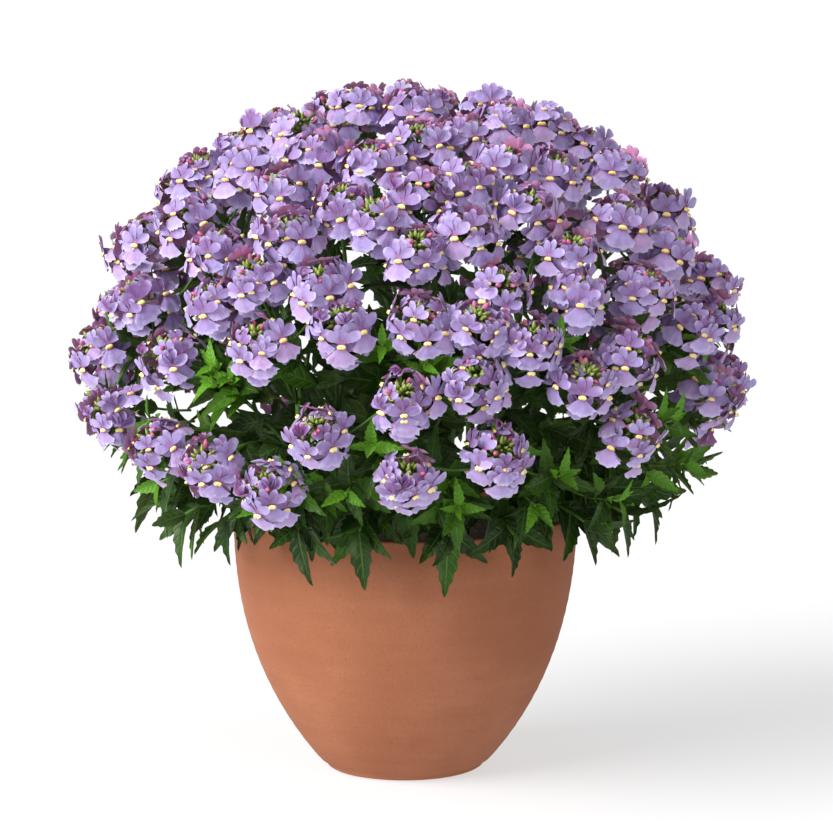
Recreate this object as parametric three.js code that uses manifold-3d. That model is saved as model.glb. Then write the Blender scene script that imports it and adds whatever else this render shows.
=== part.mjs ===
// Potted nemesia: a domed, bushy plant in full flower, growing in soil in a terracotta pot.
// Millimetres, +Z up. The origin is the middle of the pot's base, and the front faces -Y.

import * as THREE from "three";
import { mergeVertices } from "three/addons/utils/BufferGeometryUtils.js";
import Module from "manifold-3d";

const wasm = await Module();
wasm.setup();

// Driving dimensions

const GAP = 0.3;

// The pot is a deep bowl: a flat foot, a belly that swells upwards, and a plain flat rim.
const POT = { height: 141.7, rim: 92.9, foot: 42, wall: 6, floor: 8, fillet: 3, sides: 30 };
const POT_CURVE = { rise: 2.3, round: 0.92 };
const POT_LEVELS = [0.05, 0.12, 0.24, 0.4, 0.62, 1];
const INSIDE_FROM_LEVEL = 0.16;
const DRAIN = { count: 3, radius: 5, circle: 24, sides: 10 };

const SOIL = { top: 128, edge: 3, lump: 1.6, sides: 30, rings: [0.55] };
const SOIL_WAVES = { across: 0.11, shift: 1, along: 0.13, slant: 0.23, slantShare: 0.6 };
const STEM_HOLE = { depth: 12, play: 0.35 };

// The flower heads' middles lie on a flattened ball round the plant, and the leaves fill its inside.
const DOME = { middle: new THREE.Vector3(3.8, 0, 218), wide: 171, tall: 145, leafy: 0.87, flowery: 0.9 };
const LOWEST_HEAD = 186;

// The plant grows in ten sectors round a middle column, with one leafy stem in each.
const SECTORS = 10;
const HALF_SECTOR = Math.PI / SECTORS;
const OVERHEAD = 1.6;
const COLUMN = 38;
const STEM = { half: 2.2, root: 54, waist: 60, crown: 205, branch: 1.5, fork: 1.2, bud: 0.7 };
const MIDDLE_CROWN = 245;
const STRAIGHT_ABOVE_SOIL = 6;
const STEM_SEEDS = { first: 4001, step: 17 };

// A branch leaves its stem lower than its tip by the fall, and meets the flowers square on.
const BRANCH = { fall: 60, lowest: 24, underCrown: 4, sweep: 0.45, steps: 2 };

// Three branches in each sector hang out over the pot's rim, the middle one higher than its sides.
const SKIRT = {
  turn: 0.16,
  turnSpread: 0.03,
  over: 84,
  stagger: 3,
  reachSpread: 14,
  endSpread: 8,
  tip: 0.8,
  middle: { reach: 108, end: 168, over: 192, from: 34, leaves: [0.97] },
  side: { reach: 122, end: 149, over: 172, from: 20, leaves: [0.97, 0.66] },
};

// One flower head: a bud cluster with a ring of two-lipped flowers, about 42 mm across.
const HEAD = { flowers: 5, core: 6.6, neck: 4.6, low: -4, high: 3.4, tip: 7.5, root: 0.7 };
const HEAD_SIDE = new THREE.Vector3(0.3, 1, 0.1);
const HEAD_SEEDS = { first: 5, step: 977 };
const FLOWER = { out: 15.2, lift: 0.6, tilt: 0.42, least: 0.35 };
const FLOWER_SPREAD = { tilt: 0.24, out: 1.4, lift: 2 };
const FLOWER_OUTLINE = [
  [6.6, -9.8],
  [3.2, -1.6],
  [7.8, 5.4],
  [-7.8, 5.4],
  [-3.2, -1.6],
  [-6.6, -9.8],
];
const FLOWER_FACE = [[0, 1, 4], [0, 4, 5], [1, 2, 3], [1, 3, 4]];
const HEAD_REACH = 20;
const HEAD_LEAN = 0.5;
const HEAD_NEIGHBOURS = 52;

// Up to three heads stand on one stalk. The side stalks rise from its fork, bent near the middle.
const SPRAY = {
  halfApart: 28,
  clear: 2.5,
  inset: 2.4,
  fork: 2.4,
  gapDepth: 12,
  gapTurn: 0.2,
  swing: 0.22,
  bend: 0.8925,
};

// One leaf: lance-shaped and toothed, about 28 by 12 mm.
const LEAF = { length: 34, half: 7.4, thick: 0.75, ridge: 0.12, fold: 0.3, sunk: 0.2, droop: 0.16 };
const LEAF_APART = 11;
const LEAF_HANG = 0.3;
const LEAF_SIZE = { least: 0.85, spread: 0.3 };
const LEAF_OFF = 0.4;
const LEAF_FACING = { up: 0.3, out: 0.9 };
const LEAF_SPINE = [0.35, 0.65, 0.95];
const LEAF_SCALES = [1, 0.85, 0.7, 0.55];
const LEAF_TURNS = [0, 0.35, -0.35, 0.7, -0.7, 1.1, -1.1];
const LEAF_LEANS = [0.55, 0.95, 0.25];
const LEAF_CLEAR = { heads: 0.002, overRim: 2, pastRim: 1 };
const LEAF_EDGE = [
  [0.34, 1.0],
  [0.5, 0.68],
  [0.72, 0.6],
];

// The view in which the flower heads were read: pixels of a picture 833 pixels square.
const VIEW = { centre: 416.5, scale: 0.54, distance: 2600, tilt: 0.1728, aim: [6.2, 0, 192] };
const SEEN_HEADS = [
  [298, 127], [357, 104], [403, 98], [489, 100], [315, 152], [417, 141], [457, 135], [505, 163],
  [281, 187], [343, 201], [422, 191], [286, 232], [372, 160], [417, 246], [321, 282], [252, 275],
  [214, 246], [503, 286], [341, 323], [419, 318], [476, 322], [551, 126], [556, 170], [530, 207],
  [618, 168], [622, 217], [572, 250], [580, 292], [647, 286], [668, 247], [715, 276], [696, 325],
  [672, 200], [602, 135], [82, 345], [136, 296], [167, 352], [256, 341], [106, 412], [153, 442],
  [205, 462], [268, 486], [317, 430], [403, 397], [407, 477], [475, 378], [500, 452], [532, 340],
  [585, 378], [635, 430], [734, 378], [375, 215], [468, 230], [462, 180], [212, 300], [632, 350],
];
// A round notice hides the plant's upper left in that view, so its heads are set by the rule.
const UNSEEN_DISC = { middle: [158, 170], radius: 100 };
const HIDDEN_HEADS = { tries: 620, apart: 37.5, facing: 0.35 };

// Colours

const TERRACOTTA = { color: 0xb57253, roughness: 0.9, metalness: 0 };
const EARTH = { color: 0x2d221a, roughness: 1, metalness: 0 };
const LEAF_GREEN = { color: 0x3c6330, roughness: 0.6, metalness: 0 };
const LAVENDER = { color: 0x9f8bbd, roughness: 0.7, metalness: 0 };

const UP = new THREE.Vector3(0, 0, 1);
const plant = new THREE.Group();

// Seeded draws, the same at each run.
function drawsFrom(seed) {
  let state = seed >>> 0;
  return () => {
    state = (state + 0x6d2b79f5) >>> 0;
    let t = state;
    t = Math.imul(t ^ (t >>> 15), t | 1);
    t ^= t + Math.imul(t ^ (t >>> 7), t | 61);
    return ((t ^ (t >>> 14)) >>> 0) / 4294967296;
  };
}

// Solids

function solidFrom(points, triangles) {
  const flat = new Float32Array(points.flatMap((p) => [p.x, p.y, p.z]));
  const kept = triangles.filter(([a, b, c]) => a !== b && b !== c && c !== a);
  return new wasm.Manifold(
    new wasm.Mesh({ numProp: 3, vertProperties: flat, triVerts: new Uint32Array(kept.flat()) }),
  );
}

function solidOfGeometry(geometry) {
  geometry.deleteAttribute("normal");
  geometry.deleteAttribute("uv");
  const merged = mergeVertices(geometry, 1e-4);
  const place = merged.getAttribute("position");
  const points = [];
  for (let i = 0; i < place.count; i++) points.push(new THREE.Vector3().fromBufferAttribute(place, i));
  const triangles = [];
  for (let i = 0; i < merged.index.count; i += 3)
    triangles.push([merged.index.getX(i), merged.index.getX(i + 1), merged.index.getX(i + 2)]);
  return solidFrom(points, triangles);
}

const fused = (solids) => solids.reduce((whole, piece) => whole.add(piece));

// The biggest connected body of a solid: loose scraps go, and sealed hollows are filled.
function biggestBody(mesh) {
  const count = mesh.vertProperties.length / mesh.numProp;
  const parent = Array.from({ length: count }, (_, i) => i);
  const rootOf = (i) => {
    while (parent[i] !== i) i = parent[i] = parent[parent[i]];
    return i;
  };
  const t = mesh.triVerts;
  for (let i = 0; i < t.length; i += 3) {
    parent[rootOf(t[i])] = rootOf(t[i + 1]);
    parent[rootOf(t[i + 1])] = rootOf(t[i + 2]);
  }
  const at = (i) => new THREE.Vector3().fromArray(mesh.vertProperties, i * mesh.numProp);
  const volumes = new Map();
  for (let i = 0; i < t.length; i += 3) {
    const volume = at(t[i]).dot(at(t[i + 1]).cross(at(t[i + 2]))) / 6;
    volumes.set(rootOf(t[i]), (volumes.get(rootOf(t[i])) ?? 0) + volume);
  }
  const [biggest] = [...volumes].sort((a, b) => b[1] - a[1])[0];
  const kept = [];
  for (let i = 0; i < t.length; i += 3) if (rootOf(t[i]) === biggest) kept.push(t[i], t[i + 1], t[i + 2]);
  return kept;
}

function addPiece(name, solid, finish) {
  const made = solid.getMesh();
  const geometry = new THREE.BufferGeometry();
  geometry.setAttribute("position", new THREE.BufferAttribute(new Float32Array(made.vertProperties), 3));
  geometry.setIndex(biggestBody(made));
  geometry.computeVertexNormals();
  const piece = new THREE.Mesh(geometry, new THREE.MeshStandardMaterial(finish));
  piece.name = name;
  plant.add(piece);
}

// The axis that a list of directions keeps furthest from.
function squarestAxis(directions) {
  const axes = [new THREE.Vector3(1, 0, 0), new THREE.Vector3(0, 1, 0), UP];
  const closest = (axis) => Math.max(...directions.map((d) => Math.abs(d.dot(axis))));
  return axes.sort((a, b) => closest(a) - closest(b))[0];
}

// A tube with flat ends and few sides along a list of points, thinner towards its last point.
function tube(route, firstRadius, lastRadius, sides, { startNormal, endNormal, corner } = {}) {
  const points = [];
  const triangles = [];
  const directions = route.map((_, k) => {
    const before = route[Math.max(k - 1, 0)];
    const after = route[Math.min(k + 1, route.length - 1)];
    return new THREE.Vector3().subVectors(after, before).normalize();
  });
  if (startNormal) directions[0].copy(startNormal);
  if (endNormal) directions[route.length - 1].copy(endNormal);
  const reference = corner ?? squarestAxis(directions);
  route.forEach((here, k) => {
    const along = directions[k];
    const side = reference.clone().addScaledVector(along, -reference.dot(along)).normalize();
    const other = new THREE.Vector3().crossVectors(along, side);
    const radius = firstRadius + ((lastRadius - firstRadius) * k) / (route.length - 1);
    for (let i = 0; i < sides; i++) {
      const turn = (2 * Math.PI * i) / sides;
      const spoke = side.clone().multiplyScalar(Math.cos(turn)).addScaledVector(other, Math.sin(turn));
      points.push(here.clone().addScaledVector(spoke, radius));
    }
  });
  const last = (route.length - 1) * sides;
  for (let i = 0; i < sides; i++) {
    const next = (i + 1) % sides;
    for (let k = 0; k < last; k += sides) {
      triangles.push([k + i, k + next, k + sides + next], [k + i, k + sides + next, k + sides + i]);
    }
    if (i > 0 && i < sides - 1) {
      triangles.push([0, i + 1, i], [last, last + i, last + i + 1]);
    }
  }
  return solidFrom(points, triangles);
}

// The pot and the soil

function potRadius(level) {
  const swell = (1 - (1 - level) ** POT_CURVE.rise) ** POT_CURVE.round;
  return POT.foot + (POT.rim - POT.foot) * swell;
}

// The inner wall's levels, from the floor up, as [radius, height].
function potInside() {
  const bottom = POT.floor / POT.height;
  const levels = [bottom, ...POT_LEVELS.filter((level) => level > INSIDE_FROM_LEVEL)];
  return levels.map((level) => {
    const drawIn = level === bottom ? POT.wall + POT.fillet : POT.wall;
    return [potRadius(level) - drawIn, level * POT.height];
  });
}

function makePot() {
  const outside = POT_LEVELS.map((level) => [potRadius(level), level * POT.height]);
  const profile = [[0, 0], [POT.foot, 0], ...outside, ...potInside().reverse(), [0, POT.floor]];
  const shell = new THREE.LatheGeometry(profile.map(([r, z]) => new THREE.Vector2(r, z)), POT.sides);
  shell.rotateX(Math.PI / 2);
  let pot = solidOfGeometry(shell);
  for (let i = 0; i < DRAIN.count; i++) {
    const turn = (2 * Math.PI * (i + 0.25)) / DRAIN.count;
    const hole = new THREE.CylinderGeometry(DRAIN.radius, DRAIN.radius, 4 * POT.floor, DRAIN.sides);
    hole.rotateX(Math.PI / 2);
    hole.translate(DRAIN.circle * Math.cos(turn), DRAIN.circle * Math.sin(turn), 0);
    pot = pot.subtract(solidOfGeometry(hole));
  }
  addPiece("pot", pot, TERRACOTTA);
}

function stemRoots() {
  const ring = Array.from({ length: SECTORS }, (_, s) => spoke(s).multiplyScalar(STEM.root));
  return [...ring, new THREE.Vector3(0, 0, 0)];
}

// The inner wall's radius at a height, straight between its levels.
function insideRadius(height) {
  const wall = potInside();
  const k = wall.findIndex(([, z]) => z >= height);
  const [r0, z0] = wall[k - 1];
  const [r1, z1] = wall[k];
  return r0 + ((r1 - r0) * (height - z0)) / (z1 - z0);
}

function makeSoil() {
  const shoulder = SOIL.top - SOIL.edge;
  const wall = potInside().filter(([, z]) => z < shoulder);
  const sideLine = wall.map(([r, z], k) => [r - GAP, z + (k === 0 ? GAP : 0)]);
  const edge = insideRadius(shoulder) - GAP;
  const topLine = SOIL.rings.map((share) => [edge * share, SOIL.top]).reverse();
  const profile = [[0, POT.floor + GAP], ...sideLine, [edge, shoulder], ...topLine, [0, SOIL.top]];
  const heap = new THREE.LatheGeometry(profile.map(([r, z]) => new THREE.Vector2(r, z)), SOIL.sides);
  heap.rotateX(Math.PI / 2);
  const place = heap.getAttribute("position");
  for (let i = 0; i < place.count; i++) {
    const x = place.getX(i);
    const y = place.getY(i);
    if (place.getZ(i) < SOIL.top - 1) continue;
    const waves = SOIL_WAVES;
    const swell = Math.sin(waves.across * x + waves.shift) * Math.cos(waves.along * y);
    const cross = waves.slantShare * Math.sin(waves.slant * (x + y));
    place.setZ(i, SOIL.top + SOIL.lump * (swell + cross));
  }
  let soil = solidOfGeometry(heap);
  const side = 2 * (STEM.half + STEM_HOLE.play);
  stemRoots().forEach((root, s) => {
    const hole = new THREE.BoxGeometry(side, side, 3 * STEM_HOLE.depth);
    hole.rotateZ(s < SECTORS ? sectorTurn(s) : 0);
    hole.translate(root.x, root.y, SOIL.top + STEM_HOLE.depth / 2);
    soil = soil.subtract(solidOfGeometry(hole));
  });
  addPiece("soil", soil, EARTH);
}

// Where the flower heads are

// How far out a point lies in the dome: 1 on the surface of the heads' middles.
function domeShare(p) {
  const q = p.clone().sub(DOME.middle);
  return Math.hypot(q.x / DOME.wide, q.y / DOME.wide, q.z / DOME.tall);
}

function domeNormal(p) {
  const q = p.clone().sub(DOME.middle);
  return new THREE.Vector3(q.x / DOME.wide ** 2, q.y / DOME.wide ** 2, q.z / DOME.tall ** 2).normalize();
}

function onDome(p, share = 1) {
  return p.clone().sub(DOME.middle).multiplyScalar(share / domeShare(p)).add(DOME.middle);
}

// The point of the dome that shows at a pixel of the view, or the nearest one where the dome ends.
const lookAlong = new THREE.Vector3(0, Math.cos(VIEW.tilt), -Math.sin(VIEW.tilt));
const lookUp = new THREE.Vector3(0, Math.sin(VIEW.tilt), Math.cos(VIEW.tilt));
const eye = new THREE.Vector3(...VIEW.aim).addScaledVector(lookAlong, -VIEW.distance);

function domePointAt([px, py]) {
  const ray = lookAlong.clone().multiplyScalar(VIEW.distance);
  ray.x += (px - VIEW.centre) * VIEW.scale;
  ray.addScaledVector(lookUp, (VIEW.centre - py) * VIEW.scale).normalize();
  const squash = (v) => new THREE.Vector3(v.x / DOME.wide, v.y / DOME.wide, v.z / DOME.tall);
  const from = squash(eye.clone().sub(DOME.middle));
  const along = squash(ray);
  const a = along.dot(along);
  const b = from.dot(along);
  const inside = b * b - a * (from.dot(from) - 1);
  const travel = (-b - Math.sqrt(Math.max(inside, 0))) / a;
  return onDome(eye.clone().addScaledVector(ray, travel));
}

function pixelOf(p) {
  const q = p.clone().sub(eye);
  const zoom = VIEW.distance / q.dot(lookAlong) / VIEW.scale;
  return [VIEW.centre + q.x * zoom, VIEW.centre - q.dot(lookUp) * zoom];
}

// The heads that the view doesn't show follow a golden-angle spiral down the dome.
function placeHeads() {
  const places = SEEN_HEADS.map(domePointAt);
  const goldenTurn = Math.PI * (3 - Math.sqrt(5));
  for (let i = 0; i < HIDDEN_HEADS.tries; i++) {
    const rise = 1 - (i + 0.5) / HIDDEN_HEADS.tries;
    const high = LOWEST_HEAD + (DOME.middle.z + DOME.tall - LOWEST_HEAD) * rise;
    const flat = Math.sqrt(Math.max(0, 1 - ((high - DOME.middle.z) / DOME.tall) ** 2)) * DOME.wide;
    const turn = i * goldenTurn;
    const p = new THREE.Vector3(flat * Math.cos(turn), flat * Math.sin(turn), high);
    p.x += DOME.middle.x;
    const [px, py] = pixelOf(p);
    const [dx, dy] = UNSEEN_DISC.middle;
    const masked = Math.hypot(px - dx, py - dy) < UNSEEN_DISC.radius;
    const turnedAway = domeNormal(p).dot(lookAlong) > -HIDDEN_HEADS.facing;
    const clear = places.every((o) => o.distanceTo(p) > HIDDEN_HEADS.apart);
    if ((masked || turnedAway) && clear) places.push(p);
  }
  return places.map((middle, index) => {
    const normal = domeNormal(middle);
    const axis = normal.clone().multiplyScalar(HEAD_LEAN).addScaledVector(UP, 1 - HEAD_LEAN).normalize();
    return { index, middle, normal, axis, seen: index < SEEN_HEADS.length };
  });
}

// Two heads can share a forked stalk if no third head is near the straight line between them.
function areNeighbours(a, b, heads) {
  const half = a.middle.distanceTo(b.middle) / 2;
  if (half > SPRAY.halfApart) return false;
  const between = a.middle.clone().add(b.middle).multiplyScalar(0.5);
  return heads.every((o) => o === a || o === b || o.middle.distanceTo(between) > half + SPRAY.clear);
}

// Sprays of up to three neighbouring heads, the first of which stands on the stalk's foot.
function gatherSprays(heads) {
  const free = new Set(heads);
  const sprays = [];
  while (free.size) {
    const openings = (h) => [...free].filter((o) => o !== h && areNeighbours(h, o, heads)).length;
    const order = [...free].sort((a, b) => openings(a) - openings(b));
    const lonely = order[0];
    const near = (h) =>
      [...free]
        .filter((o) => o !== h && areNeighbours(h, o, heads))
        .sort((a, b) => a.middle.distanceTo(h.middle) - b.middle.distanceTo(h.middle));
    const around = near(lonely);
    // The spray's foot goes under the neighbour of the loneliest head, so that fewest are left over.
    const main = around.find((h) => near(h).length > 1) ?? lonely;
    const beside = near(main).filter((h) => h !== lonely);
    const spray = main === lonely ? [main, ...around.slice(0, 2)] : [main, lonely, ...beside.slice(0, 1)];
    spray.forEach((h) => free.delete(h));
    sprays.push(spray);
  }
  return sprays;
}

// Sectors

const sectorTurn = (s) => -Math.PI / 2 + 2 * HALF_SECTOR * s;
const ray2 = (turn) => new THREE.Vector3(Math.cos(turn), Math.sin(turn), 0);

function spoke(s) {
  return ray2(sectorTurn(s));
}

function sectorOf(p) {
  const turn = Math.atan2(p.y, p.x) + Math.PI / 2 + HALF_SECTOR;
  const s = Math.floor(((turn + 4 * Math.PI) % (2 * Math.PI)) / (2 * HALF_SECTOR));
  return p.dot(spoke(s)) < COLUMN ? SECTORS : s;
}

// The flat limits of a sector, as functions that are at most 0 inside it.
function sectorLimits(s) {
  if (s === SECTORS) {
    return Array.from({ length: SECTORS }, (_, k) => {
      const out = spoke(k);
      return (p) => p.dot(out) - COLUMN;
    });
  }
  const left = ray2(sectorTurn(s) + HALF_SECTOR + Math.PI / 2);
  const right = ray2(sectorTurn(s) - HALF_SECTOR - Math.PI / 2);
  const out = spoke(s);
  return [(p) => p.dot(left), (p) => p.dot(right), (p) => COLUMN - p.dot(out)];
}

// Moves a point in from a sector's limits by at least the margin.
function drawnIn(p, limits, margin) {
  const moved = p.clone();
  const step = 0.05;
  const rounds = 12;
  for (let round = 0; round < rounds; round++) {
    for (const limit of limits) {
      const over = limit(moved) + margin;
      if (over <= 0) continue;
      const base = limit(moved);
      const slope = new THREE.Vector3(
        limit(moved.clone().setX(moved.x + step)) - base,
        limit(moved.clone().setY(moved.y + step)) - base,
        0,
      ).normalize();
      moved.addScaledVector(slope, -over);
    }
  }
  return moved;
}

// Flower heads

// Each flower is a trumpet that opens from one side of the head's core. Its face is an outline
// with two lips, and the outline's points run back to the four corners of that side.
function headSolid(head, roomFor, gapTowards, stalk) {
  const { axis, middle } = head;
  const side = new THREE.Vector3().crossVectors(axis, HEAD_SIDE).normalize();
  const other = new THREE.Vector3().crossVectors(axis, side);
  const draw = drawsFrom(HEAD_SEEDS.step * head.index + HEAD_SEEDS.first);
  const towards = gapTowards.clone().sub(middle);
  const startTurn = Math.atan2(towards.dot(other), towards.dot(side));
  const at = (turn, radius, high) =>
    middle
      .clone()
      .addScaledVector(side, radius * Math.cos(turn))
      .addScaledVector(other, radius * Math.sin(turn))
      .addScaledVector(axis, high);
  const count = head.seen ? HEAD.flowers : HEAD.flowers - 1;
  const step = (2 * Math.PI) / count;
  const points = [];
  for (let i = 0; i < count; i++) points.push(at(startTurn + i * step, HEAD.neck, HEAD.low));
  for (let i = 0; i < count; i++) points.push(at(startTurn + i * step, HEAD.core, HEAD.high));
  points.push(at(0, 0, HEAD.tip));
  const triangles = [];
  for (let i = 0; i < count; i++) {
    const next = (i + 1) % count;
    triangles.push([count + i, count + next, 2 * count]);
    const turn = startTurn + (i + 0.5) * step;
    const outward = at(turn, 1, 0).sub(middle);
    const across = new THREE.Vector3().crossVectors(axis, outward);
    const tilt = FLOWER.tilt + FLOWER_SPREAD.tilt * (draw() - 0.5);
    const rise = axis.clone().multiplyScalar(Math.cos(tilt)).addScaledVector(outward, -Math.sin(tilt));
    const root = at(turn, HEAD.core * HEAD.root, 0);
    const out = FLOWER.out + FLOWER_SPREAD.out * (draw() - 0.5);
    const lift = FLOWER.lift + FLOWER_SPREAD.lift * (draw() - 0.5);
    const centre = at(turn, out, lift);
    const onFace = ([x, y]) => centre.clone().addScaledVector(across, x).addScaledVector(rise, y);
    const face = FLOWER_OUTLINE.map(onFace);
    const share = roomFor(face, root);
    const first = points.length;
    face.forEach((p) => points.push(p.sub(root).multiplyScalar(share).add(root)));
    FLOWER_FACE.forEach((corners) => triangles.push(corners.map((j) => first + j)));
    const corner = [next, next, count + next, count + i, i, i];
    FLOWER_OUTLINE.forEach((_, j) => {
      const k = (j + 1) % FLOWER_OUTLINE.length;
      triangles.push([first + k, first + j, corner[j]]);
      if (corner[k] !== corner[j]) triangles.push([first + k, corner[j], corner[k]]);
    });
  }
  addStalk(points, triangles, { head, side, count, startTurn, stalk });
  return solidFrom(points, triangles);
}

// Runs the core's lower ring down into a three-sided stalk: a zip of triangles by angle joins the
// two, and the stalk's ring is carried along the route without twisting.
function addStalk(points, triangles, { head, side, count, startTurn, stalk }) {
  const { route, radii, endNormal } = stalk;
  const sides = 3;
  const frame = { along: head.axis.clone(), side: side.clone() };
  const first = points.length;
  route.forEach((here, k) => {
    const above = k === 0 ? null : route[k - 1].clone().sub(here).normalize();
    const below = k === route.length - 1 ? null : here.clone().sub(route[k + 1]).normalize();
    let along = head.axis;
    if (above && below) along = above.clone().add(below).normalize();
    else if (above) along = endNormal ?? above;
    frame.side.applyQuaternion(new THREE.Quaternion().setFromUnitVectors(frame.along, along));
    frame.along = along.clone();
    const other = new THREE.Vector3().crossVectors(along, frame.side);
    for (let i = 0; i < sides; i++) {
      const turn = startTurn + (2 * Math.PI * i) / sides;
      const across = frame.side.clone().multiplyScalar(Math.cos(turn));
      across.addScaledVector(other, Math.sin(turn));
      points.push(here.clone().addScaledVector(across, radii[k]));
    }
  });
  for (let i = 0, j = 0; i < count || j < sides; ) {
    if (j === sides || (i < count && (i + 1) / count <= (j + 1) / sides)) {
      triangles.push([i % count, first + (j % sides), (i + 1) % count]);
      i++;
    } else {
      triangles.push([i % count, first + (j % sides), first + ((j + 1) % sides)]);
      j++;
    }
  }
  for (let k = 0; k < route.length - 1; k++) {
    const upper = first + k * sides;
    const lower = upper + sides;
    for (let i = 0; i < sides; i++) {
      const next = (i + 1) % sides;
      triangles.push([upper + i, lower + i, lower + next], [upper + i, lower + next, upper + next]);
    }
  }
  const last = first + (route.length - 1) * sides;
  triangles.push([last, last + 2, last + 1]);
}

function footOf(head) {
  const under = onDome(head.middle, DOME.leafy);
  return onDome(drawnIn(under, sectorLimits(sectorOf(under)), SPRAY.inset), DOME.leafy);
}

function makeSpray(name, spray, heads) {
  const [main] = spray;
  const foot = footOf(main);
  const footNormal = domeNormal(foot);
  const start = foot.clone().addScaledVector(footNormal, GAP / 2);
  const fork = start.clone().addScaledVector(footNormal, SPRAY.fork);
  const solids = [];
  for (const head of spray) {
    const isNear = (o) => o !== head && o.middle.distanceTo(head.middle) < HEAD_NEIGHBOURS;
    const lowest = onDome(head.middle, DOME.flowery);
    const limits = heads.filter(isNear).map((o) => {
      const between = o.middle.clone().add(head.middle).multiplyScalar(0.5);
      const towards = o.middle.clone().sub(head.middle).normalize();
      return (p) => p.clone().sub(between).dot(towards) + GAP / 2;
    });
    limits.push((p) => -p.clone().sub(lowest).dot(head.normal));
    limits.push((p) => head.middle.z - HEAD_REACH + GAP - p.z);
    const roomFor = (face, root) => largestShare(face, root, limits, FLOWER.least);
    const partner = head === main ? spray[1] ?? main : main;
    const below = head.middle.clone().addScaledVector(head.normal, -SPRAY.gapDepth);
    const gapTowards = below.lerp(partner.middle, SPRAY.gapTurn);
    const seat = head.middle.clone().addScaledVector(head.axis, HEAD.low - HEAD.neck);
    const low = onDome(head.middle.clone().lerp(main.middle, SPRAY.swing), SPRAY.bend);
    const stalk =
      head === main
        ? { route: [seat, start], radii: [STEM.fork, STEM.branch], endNormal: footNormal }
        : { route: [seat, low, fork], radii: [STEM.fork, STEM.fork, STEM.bud] };
    solids.push(headSolid(head, roomFor, gapTowards, stalk));
  }
  addPiece(name, fused(solids), LAVENDER);
}

// The largest share, up to 1, by which points can be scaled about a root and stay inside limits.
function largestShare(points, root, limits, least) {
  let share = 1;
  for (const limit of limits) {
    const from = limit(root);
    for (const p of points) {
      const to = limit(p);
      if (to > 0) share = Math.min(share, Math.max(-from / (to - from), 0));
    }
  }
  return Math.max(share, least);
}

// Leaves and stems

// A toothed blade with a sharp edge and a raised middle on both faces, from root along a direction.
function leafPoints(root, along, up, size, scale) {
  const out = along.clone().normalize();
  const across = new THREE.Vector3().crossVectors(up, out).normalize();
  const lift = new THREE.Vector3().crossVectors(out, across);
  const length = LEAF.length * size * scale;
  const half = LEAF.half * size * scale;
  const at = (share, x, high) =>
    root
      .clone()
      .addScaledVector(out, share * length)
      .addScaledVector(across, x)
      .addScaledVector(lift, high - LEAF.droop * length * share * share);
  const points = [root.clone().addScaledVector(out, -LEAF.sunk)];
  LEAF_EDGE.forEach(([share, wide]) => points.push(at(share, wide * half, 0)));
  points.push(at(1, 0, 0));
  LEAF_EDGE.toReversed().forEach(([share, wide]) => points.push(at(share, -wide * half, 0)));
  for (const face of [LEAF.thick, -LEAF.thick]) points.push(at(LEAF.ridge, 0, face - LEAF.fold));
  return points;
}

function leafSolid(points) {
  const around = points.length - 2;
  const [top, bottom] = [around, around + 1];
  const triangles = [];
  for (let i = 0; i < around; i++) {
    const next = (i + 1) % around;
    triangles.push([next, i, top], [i, next, bottom]);
  }
  return solidFrom(points, triangles);
}

// A place is open to a leaf or a branch if all of it is in the sector, clear of the flower heads
// above and of the pot below.
function openTo(points, s, skirtTop) {
  const limits = sectorLimits(s);
  if (!points.every((p) => limits.every((limit) => limit(p) < -GAP / 2))) return false;
  const underDome = points.every((p) => domeShare(p) < DOME.leafy - LEAF_CLEAR.heads);
  const underHeads = points.every((p) => p.z < skirtTop);
  const overRim = points.every((p) => p.z > POT.height + LEAF_CLEAR.overRim);
  const outside = ray2(Math.atan2(points[0].y, points[0].x));
  const pastRim = points.every((p) => p.dot(outside) > POT.rim + LEAF_CLEAR.pastRim);
  return (underDome || underHeads) && (overRim || pastRim);
}

// Turns a leaf about its branch, and shortens it, until it has room. Gives nothing if it has none.
function seatLeaf(middle, branch, side, size, s, skirtTop, taken) {
  const root = middle.clone().addScaledVector(side, LEAF_OFF);
  for (const scale of LEAF_SCALES) {
    for (const turn of LEAF_TURNS) {
      for (const lean of LEAF_LEANS) {
        const out = side.clone().applyAxisAngle(branch, turn);
        const along = out.multiplyScalar(Math.cos(lean)).addScaledVector(branch, Math.sin(lean));
        along.addScaledVector(UP, -LEAF_HANG).normalize();
        const lift = UP.clone().multiplyScalar(LEAF_FACING.up);
        lift.addScaledVector(domeNormal(root), LEAF_FACING.out);
        lift.addScaledVector(along, -lift.dot(along)).normalize();
        const points = leafPoints(root, along, lift, size, scale);
        const tip = points[1 + LEAF_EDGE.length];
        const spine = LEAF_SPINE.map((share) => root.clone().lerp(tip, share));
        const crowded = taken.some((p) => spine.some((q) => q.distanceTo(p) < LEAF_APART));
        if (crowded || !openTo(points, s, skirtTop)) continue;
        taken.push(...spine);
        return leafSolid(points);
      }
    }
  }
  return null;
}

function bend(from, through, to) {
  return new THREE.QuadraticBezierCurve3(from, through, to).getPoints(BRANCH.steps);
}

// Opposite pairs of leaves at shares of a branch's length, each pair square to the last.
function leavesAlong(route, shares, s, skirtTop, draw, taken) {
  const line = new THREE.CatmullRomCurve3(route);
  const leaves = [];
  shares.forEach((share, k) => {
    const root = line.getPoint(share);
    const branch = line.getTangent(share);
    const level = new THREE.Vector3().crossVectors(branch, domeNormal(root)).normalize();
    const side = level.applyAxisAngle(branch, k % 2 ? Math.PI / 2 : 0);
    for (const way of [1, -1]) {
      const size = LEAF_SIZE.least + LEAF_SIZE.spread * draw();
      const outward = side.clone().multiplyScalar(way);
      const leaf = seatLeaf(root, branch, outward, size, s, skirtTop, taken);
      if (leaf) leaves.push(leaf);
    }
  });
  return leaves;
}

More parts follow.
